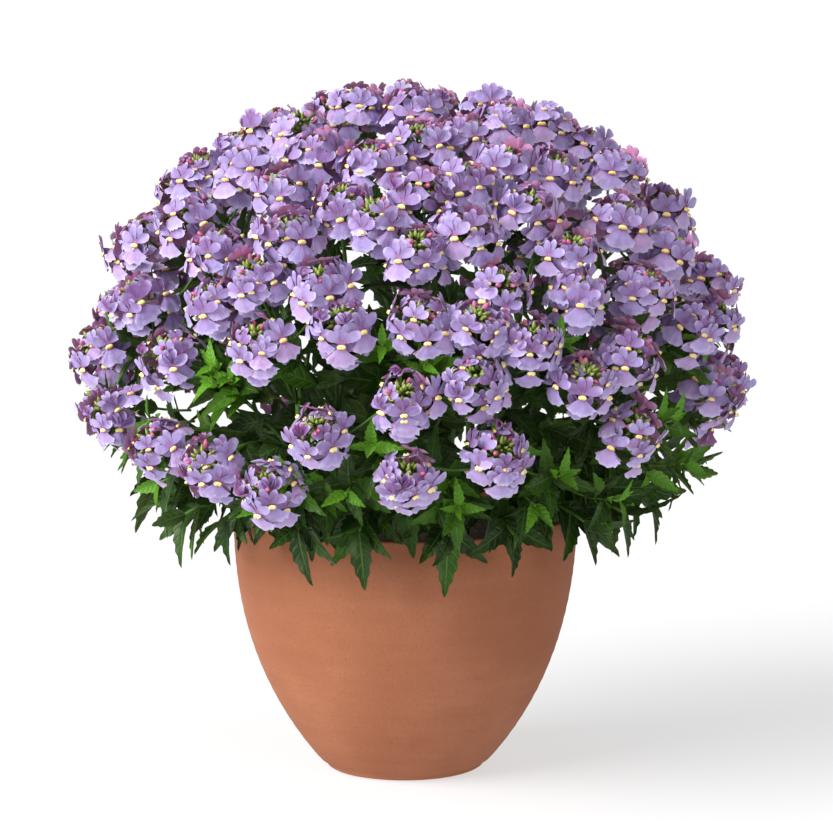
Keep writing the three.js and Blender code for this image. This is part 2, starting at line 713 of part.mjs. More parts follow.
function makeLeafyStem(name, s, feet, heads) {
  const draw = drawsFrom(STEM_SEEDS.first + STEM_SEEDS.step * s);
  const root = stemRoots()[s];
  const low = SOIL.top - STEM_HOLE.depth + GAP;
  const inRing = s < SECTORS;
  const waist = inRing ? spoke(s).multiplyScalar(STEM.waist) : new THREE.Vector3();
  const crown = inRing ? STEM.crown : MIDDLE_CROWN;
  const trunk = [
    root.clone().setZ(low),
    root.clone().setZ(SOIL.top + STRAIGHT_ABOVE_SOIL),
    waist.clone().setZ((SOIL.top + crown) / 2),
    waist.clone().setZ(crown),
  ];
  const corner = ray2((inRing ? sectorTurn(s) : 0) + Math.PI / 4);
  const solids = [tube(trunk, STEM.half * Math.SQRT2, STEM.half, 4, { corner })];
  const trunkAt = (z) => {
    const k = trunk.findIndex((p) => p.z >= z);
    const share = (z - trunk[k - 1].z) / (trunk[k].z - trunk[k - 1].z);
    return trunk[k - 1].clone().lerp(trunk[k], share);
  };
  const isOver = (h) => h.middle.clone().setZ(0).angleTo(spoke(s % SECTORS)) < OVERHEAD * HALF_SECTOR;
  const skirtTop = Math.min(...heads.filter(isOver).map((h) => h.middle.z)) - HEAD_REACH - GAP;

  feet.forEach((foot) => {
    const normal = domeNormal(foot);
    const tip = foot.clone().addScaledVector(normal, -GAP / 2);
    const wanted = foot.z - BRANCH.fall;
    const height = THREE.MathUtils.clamp(wanted, SOIL.top + BRANCH.lowest, crown - BRANCH.underCrown);
    const from = trunkAt(height);
    const through = tip.clone().addScaledVector(normal, -BRANCH.sweep * tip.distanceTo(from));
    const route = bend(from, through, tip);
    solids.push(tube(route, STEM.branch, STEM.fork, 3, { endNormal: normal }));
  });
  const taken = [];
  for (const way of inRing ? [-1, 0, 1] : []) {
    const kind = way === 0 ? SKIRT.middle : SKIRT.side;
    const turn = sectorTurn(s) + way * (SKIRT.turn + SKIRT.turnSpread * draw());
    const reach = kind.reach + SKIRT.reachSpread * draw();
    const end = ray2(turn).multiplyScalar(reach).setZ(kind.end + SKIRT.endSpread * draw());
    const over = ray2(turn).multiplyScalar(SKIRT.over).setZ(kind.over);
    const route = bend(trunkAt(SOIL.top + kind.from + SKIRT.stagger * way), over, end);
    solids.push(tube(route, STEM.branch, SKIRT.tip, 3));
    solids.push(...leavesAlong(route, kind.leaves, s, skirtTop, draw, taken));
  }
  addPiece(name, fused(solids), LEAF_GREEN);
}

const twoDigits = (n) => String(n).padStart(2, "0");

makePot();
makeSoil();
const heads = placeHeads();
const sprays = gatherSprays(heads);
for (let s = 0; s <= SECTORS; s++) {
  const feet = sprays.map(([main]) => footOf(main)).filter((foot) => sectorOf(foot) === s);
  makeLeafyStem(`leafy_stem_${twoDigits(s + 1)}`, s, feet, heads);
}
sprays.forEach((spray, i) => makeSpray(`flower_spray_${twoDigits(i + 1)}`, spray, heads));

export default plant;
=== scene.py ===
"""A potted nemesia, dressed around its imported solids.

The flower heads lie on a flattened dome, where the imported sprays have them, and each one gets its
florets, round buds and bud cluster. Toothed leaves grow in pairs along the same stems as in the
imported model, and the pot and the soil are turned anew with a fine surface. Units are metres.
"""

import logging
import math
from collections.abc import Sequence
from dataclasses import dataclass, field, replace
from enum import Enum, IntEnum

import bpy
import numpy as np
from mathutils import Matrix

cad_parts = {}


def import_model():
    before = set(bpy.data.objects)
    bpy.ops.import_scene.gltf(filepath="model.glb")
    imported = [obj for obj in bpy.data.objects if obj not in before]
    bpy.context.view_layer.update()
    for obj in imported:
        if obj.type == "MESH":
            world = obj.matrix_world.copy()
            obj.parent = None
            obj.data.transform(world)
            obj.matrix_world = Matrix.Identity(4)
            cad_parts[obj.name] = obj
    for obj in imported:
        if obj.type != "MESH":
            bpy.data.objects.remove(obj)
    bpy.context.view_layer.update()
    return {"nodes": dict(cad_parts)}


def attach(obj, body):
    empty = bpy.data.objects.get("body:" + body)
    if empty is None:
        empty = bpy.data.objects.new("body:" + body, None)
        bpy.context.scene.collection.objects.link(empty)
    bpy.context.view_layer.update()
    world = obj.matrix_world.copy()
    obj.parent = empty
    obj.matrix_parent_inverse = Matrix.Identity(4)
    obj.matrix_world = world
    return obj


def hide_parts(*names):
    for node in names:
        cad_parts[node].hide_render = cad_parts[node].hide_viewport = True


LOG = logging.getLogger("potted_nemesia")
Array = np.ndarray
Colour = tuple[float, float, float, float]

MM = 0.001
UP = np.array([0.0, 0.0, 1.0])
BODY = "root"
CHART = "Chart"
TONE = "tone"
BAKE_MAP = "OFBake"
GOLDEN_ANGLE = math.pi * (3 - math.sqrt(5))
TURNED_OVER = [0, 3, 2, 1]
SHARP_ANGLE = math.radians(100)


def display(red: int, green: int, blue: int) -> Colour:
    """Gives a colour in the shader's linear numbers.

    Args:
        red: the display value of red, 0 to 255.
        green: the display value of green, 0 to 255.
        blue: the display value of blue, 0 to 255.

    Returns:
        The linear red, green, blue and an alpha of 1.
    """
    share = np.array([red, green, blue]) / 255
    linear = np.where(share <= 0.04045, share / 12.92, ((share + 0.055) / 1.055) ** 2.4)
    return (*linear.tolist(), 1.0)


def unit(vectors: Array) -> Array:
    """Gives vectors of length one along the last axis."""
    return vectors / np.linalg.norm(vectors, axis=-1, keepdims=True)


def square_to(vectors: Array, axes: Array) -> Array:
    """Gives the unit parts of vectors that are square to unit axes."""
    return unit(vectors - (vectors * axes).sum(-1, keepdims=True) * axes)


def around(turn: Array, side: Array, other: Array) -> Array:
    """Gives cos a side + sin a other for each angle a."""
    return np.cos(turn)[..., None] * side + np.sin(turn)[..., None] * other


def axes_on(ahead: Array, near: Array) -> Array:
    """Gives three unit axes as rows: the last is ahead, the first as near a vector as can be."""
    across = square_to(np.broadcast_to(near, ahead.shape), ahead)
    return np.stack([across, np.cross(ahead, across), ahead], 1)


# Surfaces


@dataclass
class Layout:
    """Where the copies of a patch go.

    Attributes:
        axes: three unit axes as rows for each copy.
        origins: the origin of each copy.
        sizes: the size of each copy.
        tones: what each copy adds to the tone.
    """

    axes: Array
    origins: Array
    sizes: Array
    tones: Array

    def chosen(self, mask: Array) -> "Layout":
        """Gives the copies that a mask picks."""
        return Layout(self.axes[mask], self.origins[mask], self.sizes[mask], self.tones[mask])


@dataclass
class Patch:
    """A surface of four-sided faces, before it becomes a mesh.

    Attributes:
        places: a point for each vertex.
        quads: the four vertices of each face, turning left as seen from outside.
        chart: how far across and how far along its blade each vertex lies, 0 to 1.
        tone: a shade for each vertex, which the finishes read.
        finish: the number of each face's finish.
        atlas: where each corner lies in its copy's square of the bake map.
        cell: the number of the copy that each face belongs to.
    """

    places: Array
    quads: Array
    chart: Array
    tone: Array
    finish: Array
    atlas: Array
    cell: Array

    @property
    def copies(self) -> int:
        """The number of copies in the patch."""
        return int(self.cell.max()) + 1

    @staticmethod
    def joined(patches: Sequence["Patch"], one_copy: bool = False) -> "Patch":
        """Puts patches into one.

        Args:
            patches: the patches to join.
            one_copy: whether the result counts as one copy, whose square they share.

        Returns:
            The joined patch.
        """
        vertex_counts = [0, *np.cumsum([len(p.places) for p in patches])]
        copy_counts = [0, *np.cumsum([p.copies for p in patches])]
        names = ("places", "chart", "tone", "finish", "atlas")
        parts = {name: np.concatenate([getattr(p, name) for p in patches]) for name in names}
        quads = np.concatenate([p.quads + first for p, first in zip(patches, vertex_counts)])
        cell = np.concatenate([p.cell + first for p, first in zip(patches, copy_counts)])
        if one_copy:
            parts["atlas"] = in_squares(parts["atlas"], cell, copy_counts[-1])
            cell = np.zeros_like(cell)
        return Patch(quads=quads, cell=cell, **parts)

    def moved(self, matrix: Array, shift: Array) -> "Patch":
        """Gives the patch with each place turned by a matrix of axes as rows, then shifted."""
        return replace(self, places=self.places @ matrix + shift)

    def scattered(self, layout: Layout) -> "Patch":
        """Repeats the patch: each place is the copy's origin + size (x, y and z along its axes)."""
        count = len(layout.origins)
        turned_places = np.einsum("vj,kji->kvi", self.places, layout.axes)
        places = turned_places * layout.sizes[:, None, None] + layout.origins[:, None, :]
        first = np.arange(count)[:, None, None] * len(self.places)
        return Patch(
            places.reshape(-1, 3),
            (self.quads[None] + first).reshape(-1, 4),
            np.tile(self.chart, (count, 1)),
            (self.tone[None] + layout.tones[:, None]).ravel(),
            np.tile(self.finish, count),
            np.tile(self.atlas, (count, 1, 1)),
            (self.cell[None] + np.arange(count)[:, None] * self.copies).ravel(),
        )


def scattered_kinds(kinds: Sequence[Patch], chosen: Array, layout: Layout) -> list[Patch]:
    """Scatters patches of several kinds, where chosen holds the kind of each copy."""
    return [kinds[k].scattered(layout.chosen(chosen == k)) for k in np.unique(chosen)]


def in_squares(atlas: Array, cell: Array, count: int) -> Array:
    """Lays each copy's corners into a square of its own, row by row in a large square.

    Args:
        atlas: the corners within each copy's square.
        cell: the copy of each face.
        count: the number of copies.

    Returns:
        The corners in the large square.
    """
    side = math.ceil(math.sqrt(count))
    margin = 0.05
    column, row = cell % side, cell // side
    base = np.stack([column, row], -1)[:, None, :]
    return (base + margin + (1 - 2 * margin) * atlas) / side


def grid_quads(rows: int, columns: int) -> Array:
    """Gives the faces of a grid of vertices, numbered row by row."""
    corner = np.arange(rows * columns).reshape(rows, columns)
    faces = [corner[:-1, :-1], corner[:-1, 1:], corner[1:, 1:], corner[1:, :-1]]
    return np.stack(faces, -1).reshape(-1, 4)


def blade(
    front: Array, thick: float, tone: Array | float, faces: tuple[int, int], along: Array | None = None
) -> Patch:
    """Makes a thin closed blade from its front face.

    The back is the front moved against its own normal by the thickness, and both share the rim.
    Its faces start at the same corners as the front's, so that both bend along the same diagonals.

    Args:
        front: the points of the front as rows, columns and places, facing +Z.
        thick: the thickness in the middle.
        tone: the tone of the front's points, or of all.
        faces: the numbers of the front's and the back's finish.
        along: how far along the blade each point lies, if it isn't by its row.

    Returns:
        The closed blade.
    """
    rows, columns = front.shape[:2]
    normal = unit(np.cross(np.gradient(front, axis=1), np.gradient(front, axis=0)))
    quads = grid_quads(rows, columns)
    if normal[..., 2].mean() < 0:
        normal, quads = -normal, quads[:, TURNED_OVER]
    inner = np.zeros((rows, columns), bool)
    inner[1:-1, 1:-1] = True
    behind = np.arange(rows * columns).reshape(rows, columns)
    behind[inner] = rows * columns + np.arange(inner.sum())
    rear = behind.ravel()[quads][:, TURNED_OVER]
    across, level = np.meshgrid(np.linspace(0, 1, columns), np.linspace(0, 1, rows))
    spread = np.stack([across, level], -1).reshape(-1, 2)
    chart = spread.copy()
    if along is not None:
        chart[:, 1] = along.ravel()
    shade = np.broadcast_to(np.asarray(tone, float), (rows, columns))
    spots = spread[quads] * np.array([0.48, 1.0])
    rear_spots = spots[:, TURNED_OVER] + np.array([0.52, 0.0])
    return Patch(
        np.concatenate([front.reshape(-1, 3), (front - thick * normal)[inner]]),
        np.concatenate([quads, rear]),
        np.concatenate([chart, chart[inner.ravel()]]),
        np.concatenate([shade.ravel(), shade[inner]]),
        np.repeat(np.array(faces, int), len(quads)),
        np.concatenate([spots, rear_spots]),
        np.zeros(2 * len(quads), int),
    )


def ring_quads(rings: int, sides: int) -> Array:
    """Gives the faces of rings of vertices, one above the other, with both ends closed.

    An end is closed by faces that spread from its first vertex, so the number of sides is even.
    """
    corner = np.arange(rings * sides).reshape(rings, sides)
    after = np.roll(corner, -1, axis=1)
    walls = np.stack([corner[:-1], after[:-1], after[1:], corner[1:]], -1).reshape(-1, 4)
    step = 2 * np.arange((sides - 2) // 2)
    fan = np.stack([np.zeros_like(step), step + 1, step + 2, step + 3], -1)
    return np.concatenate([walls, fan[:, ::-1], fan + corner[-1, 0]])


def ring_atlas(rings: int, sides: int, quads: Array) -> Array:
    """Gives each corner of ringed faces its place in a square: round it, then along it."""
    height = (quads // sides) / max(rings - 1, 1)
    turn = (quads % sides) / sides
    wraps = (turn.max(1, keepdims=True) - turn) > 0.5
    return np.stack([np.where(wraps, turn + 1.0, turn) * sides / (sides + 1), height], -1)


def turned(profile: Array, sides: int, tone: Array, finish: int) -> Patch:
    """Turns a profile of radius and height about +Z: place = (r cos a, r sin a, h).

    Args:
        profile: the radius and the height of each ring, upwards.
        sides: the number of sides, even.
        tone: the tone of each ring.
        finish: the number of the finish.

    Returns:
        The closed turned shape.
    """
    turn = 2 * np.pi * np.arange(sides) / sides
    circle = np.stack([np.cos(turn), np.sin(turn)], -1)
    rings = len(profile)
    flat = profile[:, 0, None, None] * circle[None]
    high = np.broadcast_to(profile[:, 1, None, None], (rings, sides, 1))
    quads = ring_quads(rings, sides)
    along = np.repeat(np.linspace(0, 1, rings), sides)
    around = np.tile(np.arange(sides) / sides, rings)
    return Patch(
        np.concatenate([flat, high], -1).reshape(-1, 3),
        quads,
        np.stack([around, along], -1),
        np.repeat(tone, sides).astype(float),
        np.full(len(quads), finish),
        ring_atlas(rings, sides, quads),
        np.zeros(len(quads), int),
    )


def stalks(paths: Array, radii: Array | float, sides: int, tone: float, finish: int) -> Patch:
    """Carries a ring along each path: place = path + radius (cos a side + sin a other).

    Args:
        paths: the points of each path, as paths, points and places.
        radii: the radius at each point, as paths and points, or of all.
        sides: the number of sides, even.
        tone: the tone of every vertex.
        finish: the number of the finish.

    Returns:
        The closed stalks, each one copy.
    """
    count, steps = paths.shape[:2]
    along = unit(np.gradient(paths, axis=1))
    least = np.abs(along.mean(1)).argmin(-1)
    side = square_to(np.broadcast_to(np.eye(3)[least][:, None], along.shape), along)
    other = np.cross(along, side)
    turn = 2 * np.pi * np.arange(sides) / sides
    spoke = around(turn, side[:, :, None], other[:, :, None])
    radii = np.broadcast_to(radii, (count, steps))
    places = paths[:, :, None] + radii[:, :, None, None] * spoke
    quads = ring_quads(steps, sides)
    first = np.arange(count)[:, None, None] * steps * sides
    chart = np.stack(np.meshgrid(np.arange(sides) / sides, np.linspace(0, 1, steps)), -1)
    return Patch(
        places.reshape(-1, 3),
        (quads[None] + first).reshape(-1, 4),
        np.tile(chart.reshape(-1, 2), (count, 1)),
        np.full(count * steps * sides, tone),
        np.full(count * len(quads), finish),
        np.tile(ring_atlas(steps, sides, quads), (count, 1, 1)),
        np.repeat(np.arange(count), len(quads)),
    )


def arcs(start: Array, over: Array, end: Array, steps: int) -> Array:
    """Gives points of parabolic arcs: (1-t)^2 start + 2t(1-t) over + t^2 end."""
    t = np.linspace(0, 1, steps + 1)[None, :, None]
    return (1 - t) ** 2 * start[:, None] + 2 * t * (1 - t) * over[:, None] + t**2 * end[:, None]


# Shader nodes


class Signal:
    """A shader socket that gives a number, with arithmetic that adds Math nodes."""

    def __init__(self, graph: "Graph", socket: bpy.types.NodeSocket) -> None:
        """Keeps the node graph and its output socket."""
        self.graph = graph
        self.socket = socket

    def _math(self, operation: str, first: "Link", second: "Link" = 0.0) -> "Signal":
        """Adds a Math node for an operation on two values."""
        return self.graph.node("ShaderNodeMath", {"operation": operation}, {0: first, 1: second})

    def __add__(self, other: "Link") -> "Signal":
        """Gives the sum."""
        return self._math("ADD", self, other)

    __radd__ = __add__

    def __mul__(self, other: "Link") -> "Signal":
        """Gives the product."""
        return self._math("MULTIPLY", self, other)

    __rmul__ = __mul__

    def __sub__(self, other: "Link") -> "Signal":
        """Gives this less the other."""
        return self._math("SUBTRACT", self, other)

    def __rsub__(self, other: "Link") -> "Signal":
        """Gives the other less this."""
        return self._math("SUBTRACT", other, self)

    def __pow__(self, other: "Link") -> "Signal":
        """Gives this to a power."""
        return self._math("POWER", self, other)

    def __abs__(self) -> "Signal":
        """Gives the size without the sign."""
        return self._math("ABSOLUTE", self)

    def sine(self) -> "Signal":
        """Gives the sine."""
        return self._math("SINE", self)

    def between(self, low: float, high: float) -> "Signal":
        """Gives 0 below low and 1 above high, with a smooth step between them."""
        settings = {"interpolation_type": "SMOOTHSTEP", "clamp": True}
        return self.graph.node("ShaderNodeMapRange", settings, {0: self, 1: low, 2: high})


Link = Signal | float | Colour | tuple[float, float, float]


class Graph:
    """The shader nodes of one material."""

    def __init__(self, name: str) -> None:
        """Makes the material with an output node alone."""
        self.material = bpy.data.materials.new(name)
        self.material.use_nodes = True
        self.tree = self.material.node_tree
        self.tree.nodes.clear()

    def node(
        self,
        kind: str,
        settings: dict[str, object] | None = None,
        sockets: dict[int | str, Link] | None = None,
        output: int | str = 0,
    ) -> Signal:
        """Adds a node.

        Args:
            kind: the node's type.
            settings: its own values, set first; "stops" holds a ramp's stops.
            sockets: a value or a link for its inputs.
            output: the output to give back.

        Returns:
            The output socket.
        """
        made = self.tree.nodes.new(kind)
        for key, value in (settings or {}).items():
            if key == "stops":
                self._set_stops(made.color_ramp, value)
            else:
                setattr(made, key, value)
        for key, value in (sockets or {}).items():
            if isinstance(value, Signal):
                self.tree.links.new(value.socket, made.inputs[key])
            else:
                made.inputs[key].default_value = value
        return Signal(self, made.outputs[output] if len(made.outputs) else made.inputs[0])

    @staticmethod
    def _set_stops(ramp: bpy.types.ColorRamp, stops: Sequence[tuple[float, Colour]]) -> None:
        """Sets a ramp's stops, given as a place and a colour each."""
        for _ in range(len(stops) - 2):
            ramp.elements.new(0.5)
        for element, (place, colour) in zip(ramp.elements, stops):
            element.position = place
            element.color = colour

    def chart(self) -> tuple[Signal, Signal]:
        """Gives how far across and how far along the blade a point lies."""
        place = self.node("ShaderNodeUVMap", {"uv_map": CHART})
        across = self.node("ShaderNodeSeparateXYZ", None, {0: place}, 0)
        along = self.node("ShaderNodeSeparateXYZ", None, {0: place}, 1)
        return across, along

    def tone(self) -> Signal:
        """Gives the tone that the vertices carry."""
        return self.node("ShaderNodeAttribute", {"attribute_name": TONE}, None, "Fac")

    def noise(self, size: float, detail: float = 2.0, squash: float = 1.0) -> Signal:
        """Gives noise over the object's own coordinates.

        Args:
            size: the width of its lumps in metres.
            detail: how many finer layers it has.
            squash: how many times thinner its lumps are upwards.

        Returns:
            The noise, around 0.5.
        """
        place = self.node("ShaderNodeTexCoord", None, None, "Object")
        sockets = {0: place, 1: (1, 1, squash)}
        scaled = self.node("ShaderNodeVectorMath", {"operation": "MULTIPLY"}, sockets)
        sockets = {"Vector": scaled, "Scale": 1 / size, "Detail": detail}
        return self.node("ShaderNodeTexNoise", None, sockets)

    def mix(self, share: Link, first: Link, second: Link) -> Signal:
        """Mixes two colours, from the first at 0 to the second at 1."""
        settings = {"data_type": "RGBA", "clamp_factor": True}
        return self.node("ShaderNodeMix", settings, {0: share, 6: first, 7: second}, 2)

    def ramp(self, place: Link, stops: Sequence[tuple[float, Colour]]) -> Signal:
        """Gives the colour of a ramp at a place."""
        return self.node("ShaderNodeValToRGB", {"stops": stops}, {0: place})

    def finished(
        self, colour: Link, rough: Link, height: Link, depth: float, fixed: dict[str, float]
    ) -> bpy.types.Material:
        """Adds the shader and its bump.

        Args:
            colour: the base colour.
            rough: the roughness.
            height: the relief, 0 to 1.
            depth: how deep a relief of 1 is, in metres.
            fixed: other inputs of the shader, the same all over.

        Returns:
            The finished material.
        """
        bump = self.node("ShaderNodeBump", None, {"Distance": depth, "Height": height})
        sockets = {"Base Color": colour, "Roughness": rough, "Normal": bump, **fixed}
        shader = self.node("ShaderNodeBsdfPrincipled", None, sockets)
        self.node("ShaderNodeOutputMaterial", None, {"Surface": shader})
        return self.material


# Finishes


@dataclass(frozen=True)
class PetalFinish:
    """A thin petal: its colour follows the tone, with darker veins, a paler edge and a darker root that is
    partly the petal's own colour and partly painted shade of the throat.
    """

    name: str
    young: Colour
    full: Colour
    blushed: Colour
    edge: Colour
    vein: Colour
    throat_tint_and_shade: float = 0.75
    rough: float = 0.62
    veins: float = 9.0
    vein_share: float = 0.18
    edge_share: float = 0.6

    def material(self) -> bpy.types.Material:
        """Builds the material."""
        graph = Graph(self.name)
        across, along = graph.chart()
        mottle = graph.noise(5 * MM, 3.0)
        place = graph.tone() * 0.5 + 0.4 + (mottle - 0.5) * 0.3
        colour = graph.ramp(place, [(0.0, self.young), (0.4, self.full), (0.9, self.blushed)])
        wave = abs((across * (math.pi * self.veins) + (mottle - 0.5) * 1.5).sine())
        lines = (1 - wave) ** 3.0
        colour = graph.mix(lines * (1 - along) * self.vein_share + lines * 0.03, colour, self.vein)
        # darker towards the throat: partly the petal's own veining, partly painted shade where the throat
        # lies in shadow
        colour = graph.mix((1 - along.between(0.0, 0.55)) * self.throat_tint_and_shade, colour, self.vein)
        pale = along.between(0.7, 1.0) * self.edge_share + (mottle - 0.5) * 0.4
        colour = graph.mix(pale, colour, self.edge)
        relief = (1 - wave) * 0.12 + graph.noise(1.2 * MM) * 0.88
        return graph.finished(colour, self.rough, relief, 0.3 * MM, {"Sheen Weight": 0.2})


@dataclass(frozen=True)
class PalateFinish:
    """The pale yellow bumps in a floret's throat, whiter towards their upper side, partly their own colour
    and partly a painted highlight.
    """

    name: str = "palate_yellow"
    cream_and_highlight: Colour = display(250, 240, 190)
    yellow: Colour = display(238, 214, 96)
    rim: Colour = display(170, 62, 120)

    def material(self) -> bpy.types.Material:
        """Builds the material."""
        graph = Graph(self.name)
        _, along = graph.chart()
        speck = graph.noise(0.7 * MM)
        # whiter towards the upper side: partly the palate's own colour, partly a painted highlight where
        # the light falls on top
        colour = graph.mix(along.between(0.3, 0.9) * 0.8 + (speck - 0.5), self.yellow, self.cream_and_highlight)
        colour = graph.mix(1 - along.between(0.05, 0.4), colour, self.rim)
        return graph.finished(colour, 0.55, speck, 0.2 * MM, {"Sheen Weight": 0.1})


@dataclass(frozen=True)
class LeafFinish:
    """A leaf blade: a pale middle rib, sunken side veins, lighter young growth and patches of painted
    grey-green reflection.
    """

    name: str
    dark: Colour
    green: Colour
    young: Colour
    rib: Colour
    # the colour of the painted reflection: light glancing off the leaf, painted into its colour
    painted_sheen: Colour = display(124, 142, 98)
    rough: float = 0.42
    relief: float = 0.5 * MM
    veins: float = 6.0
    vein_share: float = 0.13
    rib_share: float = 0.45
    painted_sheen_share: float = 0.22

    def material(self) -> bpy.types.Material:
        """Builds the material."""
        graph = Graph(self.name)
        across, along = graph.chart()
        off_rib = abs(across - 0.5) * 2.0
        mottle = graph.noise(9 * MM, 4.0)
        place = graph.tone() + (mottle - 0.5) * 0.35
        colour = graph.ramp(place, [(0.0, self.dark), (0.4, self.green), (1.0, self.young)])
        slant = (along - off_rib * 0.16) * (2 * math.pi * self.veins)
        valley = (slant.sine() * 0.5 + 0.5) ** 5.0
        rib = 1 - off_rib.between(0.02, 0.12)
        side = valley * off_rib.between(0.05, 0.2) * (1 - off_rib.between(0.75, 1.0))
        colour = graph.mix(side * self.vein_share + rib * self.rib_share, colour, self.rib)
        # painted reflection: grey-green patches off the rib stand in for light glancing off the leaf
        painted_sheen = graph.noise(16 * MM, 2.0).between(0.5, 0.72) * off_rib.between(0.1, 0.5)
        colour = graph.mix(painted_sheen * self.painted_sheen_share, colour, self.painted_sheen)
        grain = graph.noise(1.4 * MM)
        height = (1 - side) * 0.6 - rib * 0.4 + grain * 0.25
        rough = self.rough + (grain - 0.5) * 0.3
        return graph.finished(colour, rough, height, self.relief, {"Specular IOR Level": 0.2})


@dataclass(frozen=True)
class StalkFinish:
    """Green stalks and buds, which redden where their tone is high."""

    name: str
    low: Colour
    middle: Colour
    high: Colour
    rough: float = 0.5

    def material(self) -> bpy.types.Material:
        """Builds the material."""
        graph = Graph(self.name)
        _, along = graph.chart()
        mottle = graph.noise(2.5 * MM, 3.0)
        place = graph.tone() + (mottle - 0.5) * 0.35 + (along - 0.5) * 0.25
        colour = graph.ramp(place, [(0.0, self.low), (0.45, self.middle), (1.0, self.high)])
        return graph.finished(colour, self.rough, mottle, 0.3 * MM, {"Specular IOR Level": 0.35})


@dataclass(frozen=True)
class TerracottaFinish:
    """Matt fired clay with fine specks, soft blotches and faint level bands."""

    name: str = "terracotta"
    clay: Colour = display(150, 93, 65)
    pale: Colour = display(161, 103, 75)
    deep: Colour = display(141, 85, 58)
    speck: Colour = display(104, 62, 44)
    chalk: Colour = display(196, 146, 116)

    def material(self) -> bpy.types.Material:
        """Builds the material."""
        graph = Graph(self.name)
        blotch = graph.noise(60 * MM, 3.0)
        bands = graph.noise(90 * MM, 3.0, 9.0)
        grain = graph.noise(1.3 * MM, 3.0)
        fine = graph.noise(0.8 * MM, 2.0)
        place = blotch * 0.7 + bands * 0.3 + (grain - 0.5) * 0.35
        colour = graph.ramp(place, [(0.3, self.deep), (0.5, self.clay), (0.7, self.pale)])
        colour = graph.mix((1 - grain.between(0.26, 0.33)) * 0.45, colour, self.speck)
        colour = graph.mix(fine.between(0.7, 0.78) * 0.4, colour, self.chalk)
        height = grain * 0.6 + bands * 0.4
        rough = 0.86 + (grain - 0.5) * 0.2
        return graph.finished(colour, rough, height, 0.35 * MM, {"Specular IOR Level": 0.3})


@dataclass(frozen=True)
class SoilFinish:
    """Dark potting soil with fibres of peat and small pale grains."""

    name: str = "potting_soil"
    black: Colour = display(26, 20, 16)
    brown: Colour = display(66, 50, 38)
    pale: Colour = display(150, 138, 120)

    def material(self) -> bpy.types.Material:
        """Builds the material."""
        graph = Graph(self.name)
        crumb = graph.noise(6 * MM, 6.0)
        grain = graph.noise(1.6 * MM, 4.0)
        colour = graph.ramp(crumb, [(0.35, self.black), (0.65, self.brown)])
        colour = graph.mix(grain.between(0.68, 0.72), colour, self.pale)
        return graph.finished(colour, 0.95, crumb * 0.6 + grain * 0.4, 2.0 * MM, {})


@dataclass(frozen=True)
class FloorFinish:
    """A plain pale studio floor."""

    name: str = "pale_floor"
    colour: Colour = (0.36, 0.36, 0.36, 1.0)
    cloudy: Colour = (0.34, 0.34, 0.34, 1.0)
    glow: float = 0.58

    def material(self) -> bpy.types.Material:
        """Builds the material, which glows a little as a lit table does."""
        graph = Graph(self.name)
        cloud = graph.noise(400 * MM, 1.0)
        colour = graph.mix(cloud * 0.1, self.colour, self.cloudy)
        fixed = {
            "Specular IOR Level": 0.1,
            "Emission Color": (1.0, 1.0, 1.0, 1.0),
            "Emission Strength": self.glow,
        }
        return graph.finished(colour, 0.9, cloud, 0.1 * MM, fixed)


def add_piece(
    name: str,
    patch: Patch,
    finishes: Sequence[bpy.types.Material],
    nodes: Sequence[str] = (),
) -> bpy.types.Object:
    """Makes a patch an object of the part.

    Args:
        name: the piece's name.
        patch: its surface.
        finishes: its materials, in the order of the patch's finish numbers.
        nodes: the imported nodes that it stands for.

    Returns:
        The object.
    """
    mesh = bpy.data.meshes.new(name)
    mesh.vertices.add(len(patch.places))
    mesh.vertices.foreach_set("co", patch.places.astype(np.float32).ravel())
    mesh.loops.add(patch.quads.size)
    mesh.loops.foreach_set("vertex_index", patch.quads.astype(np.int32).ravel())
    mesh.polygons.add(len(patch.quads))
    mesh.polygons.foreach_set("loop_start", 4 * np.arange(len(patch.quads), dtype=np.int32))
    mesh.polygons.foreach_set("material_index", patch.finish.astype(np.int32))
    mesh.update(calc_edges=True)
    chart = mesh.uv_layers.new(name=CHART)
    chart.data.foreach_set("uv", patch.chart[patch.quads.ravel()].astype(np.float32).ravel())
    spread = mesh.uv_layers.new(name=BAKE_MAP)
    spots = in_squares(patch.atlas, patch.cell, patch.copies)
    spread.data.foreach_set("uv", spots.astype(np.float32).ravel())
    tone = mesh.attributes.new(TONE, "FLOAT", "POINT")
    tone.data.foreach_set("value", patch.tone.astype(np.float32))
    mesh.shade_smooth()
    mesh.set_sharp_from_angle(angle=SHARP_ANGLE)
    for material in finishes:
        mesh.materials.append(material)
    piece = bpy.data.objects.new(name, mesh)
    bpy.context.scene.collection.objects.link(piece)
    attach(piece, BODY)
    if nodes:
        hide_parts(*nodes)
    LOG.info("%s: %d faces for %s", name, len(patch.quads), ", ".join(nodes) or "itself")
    return piece


# The plant's plan


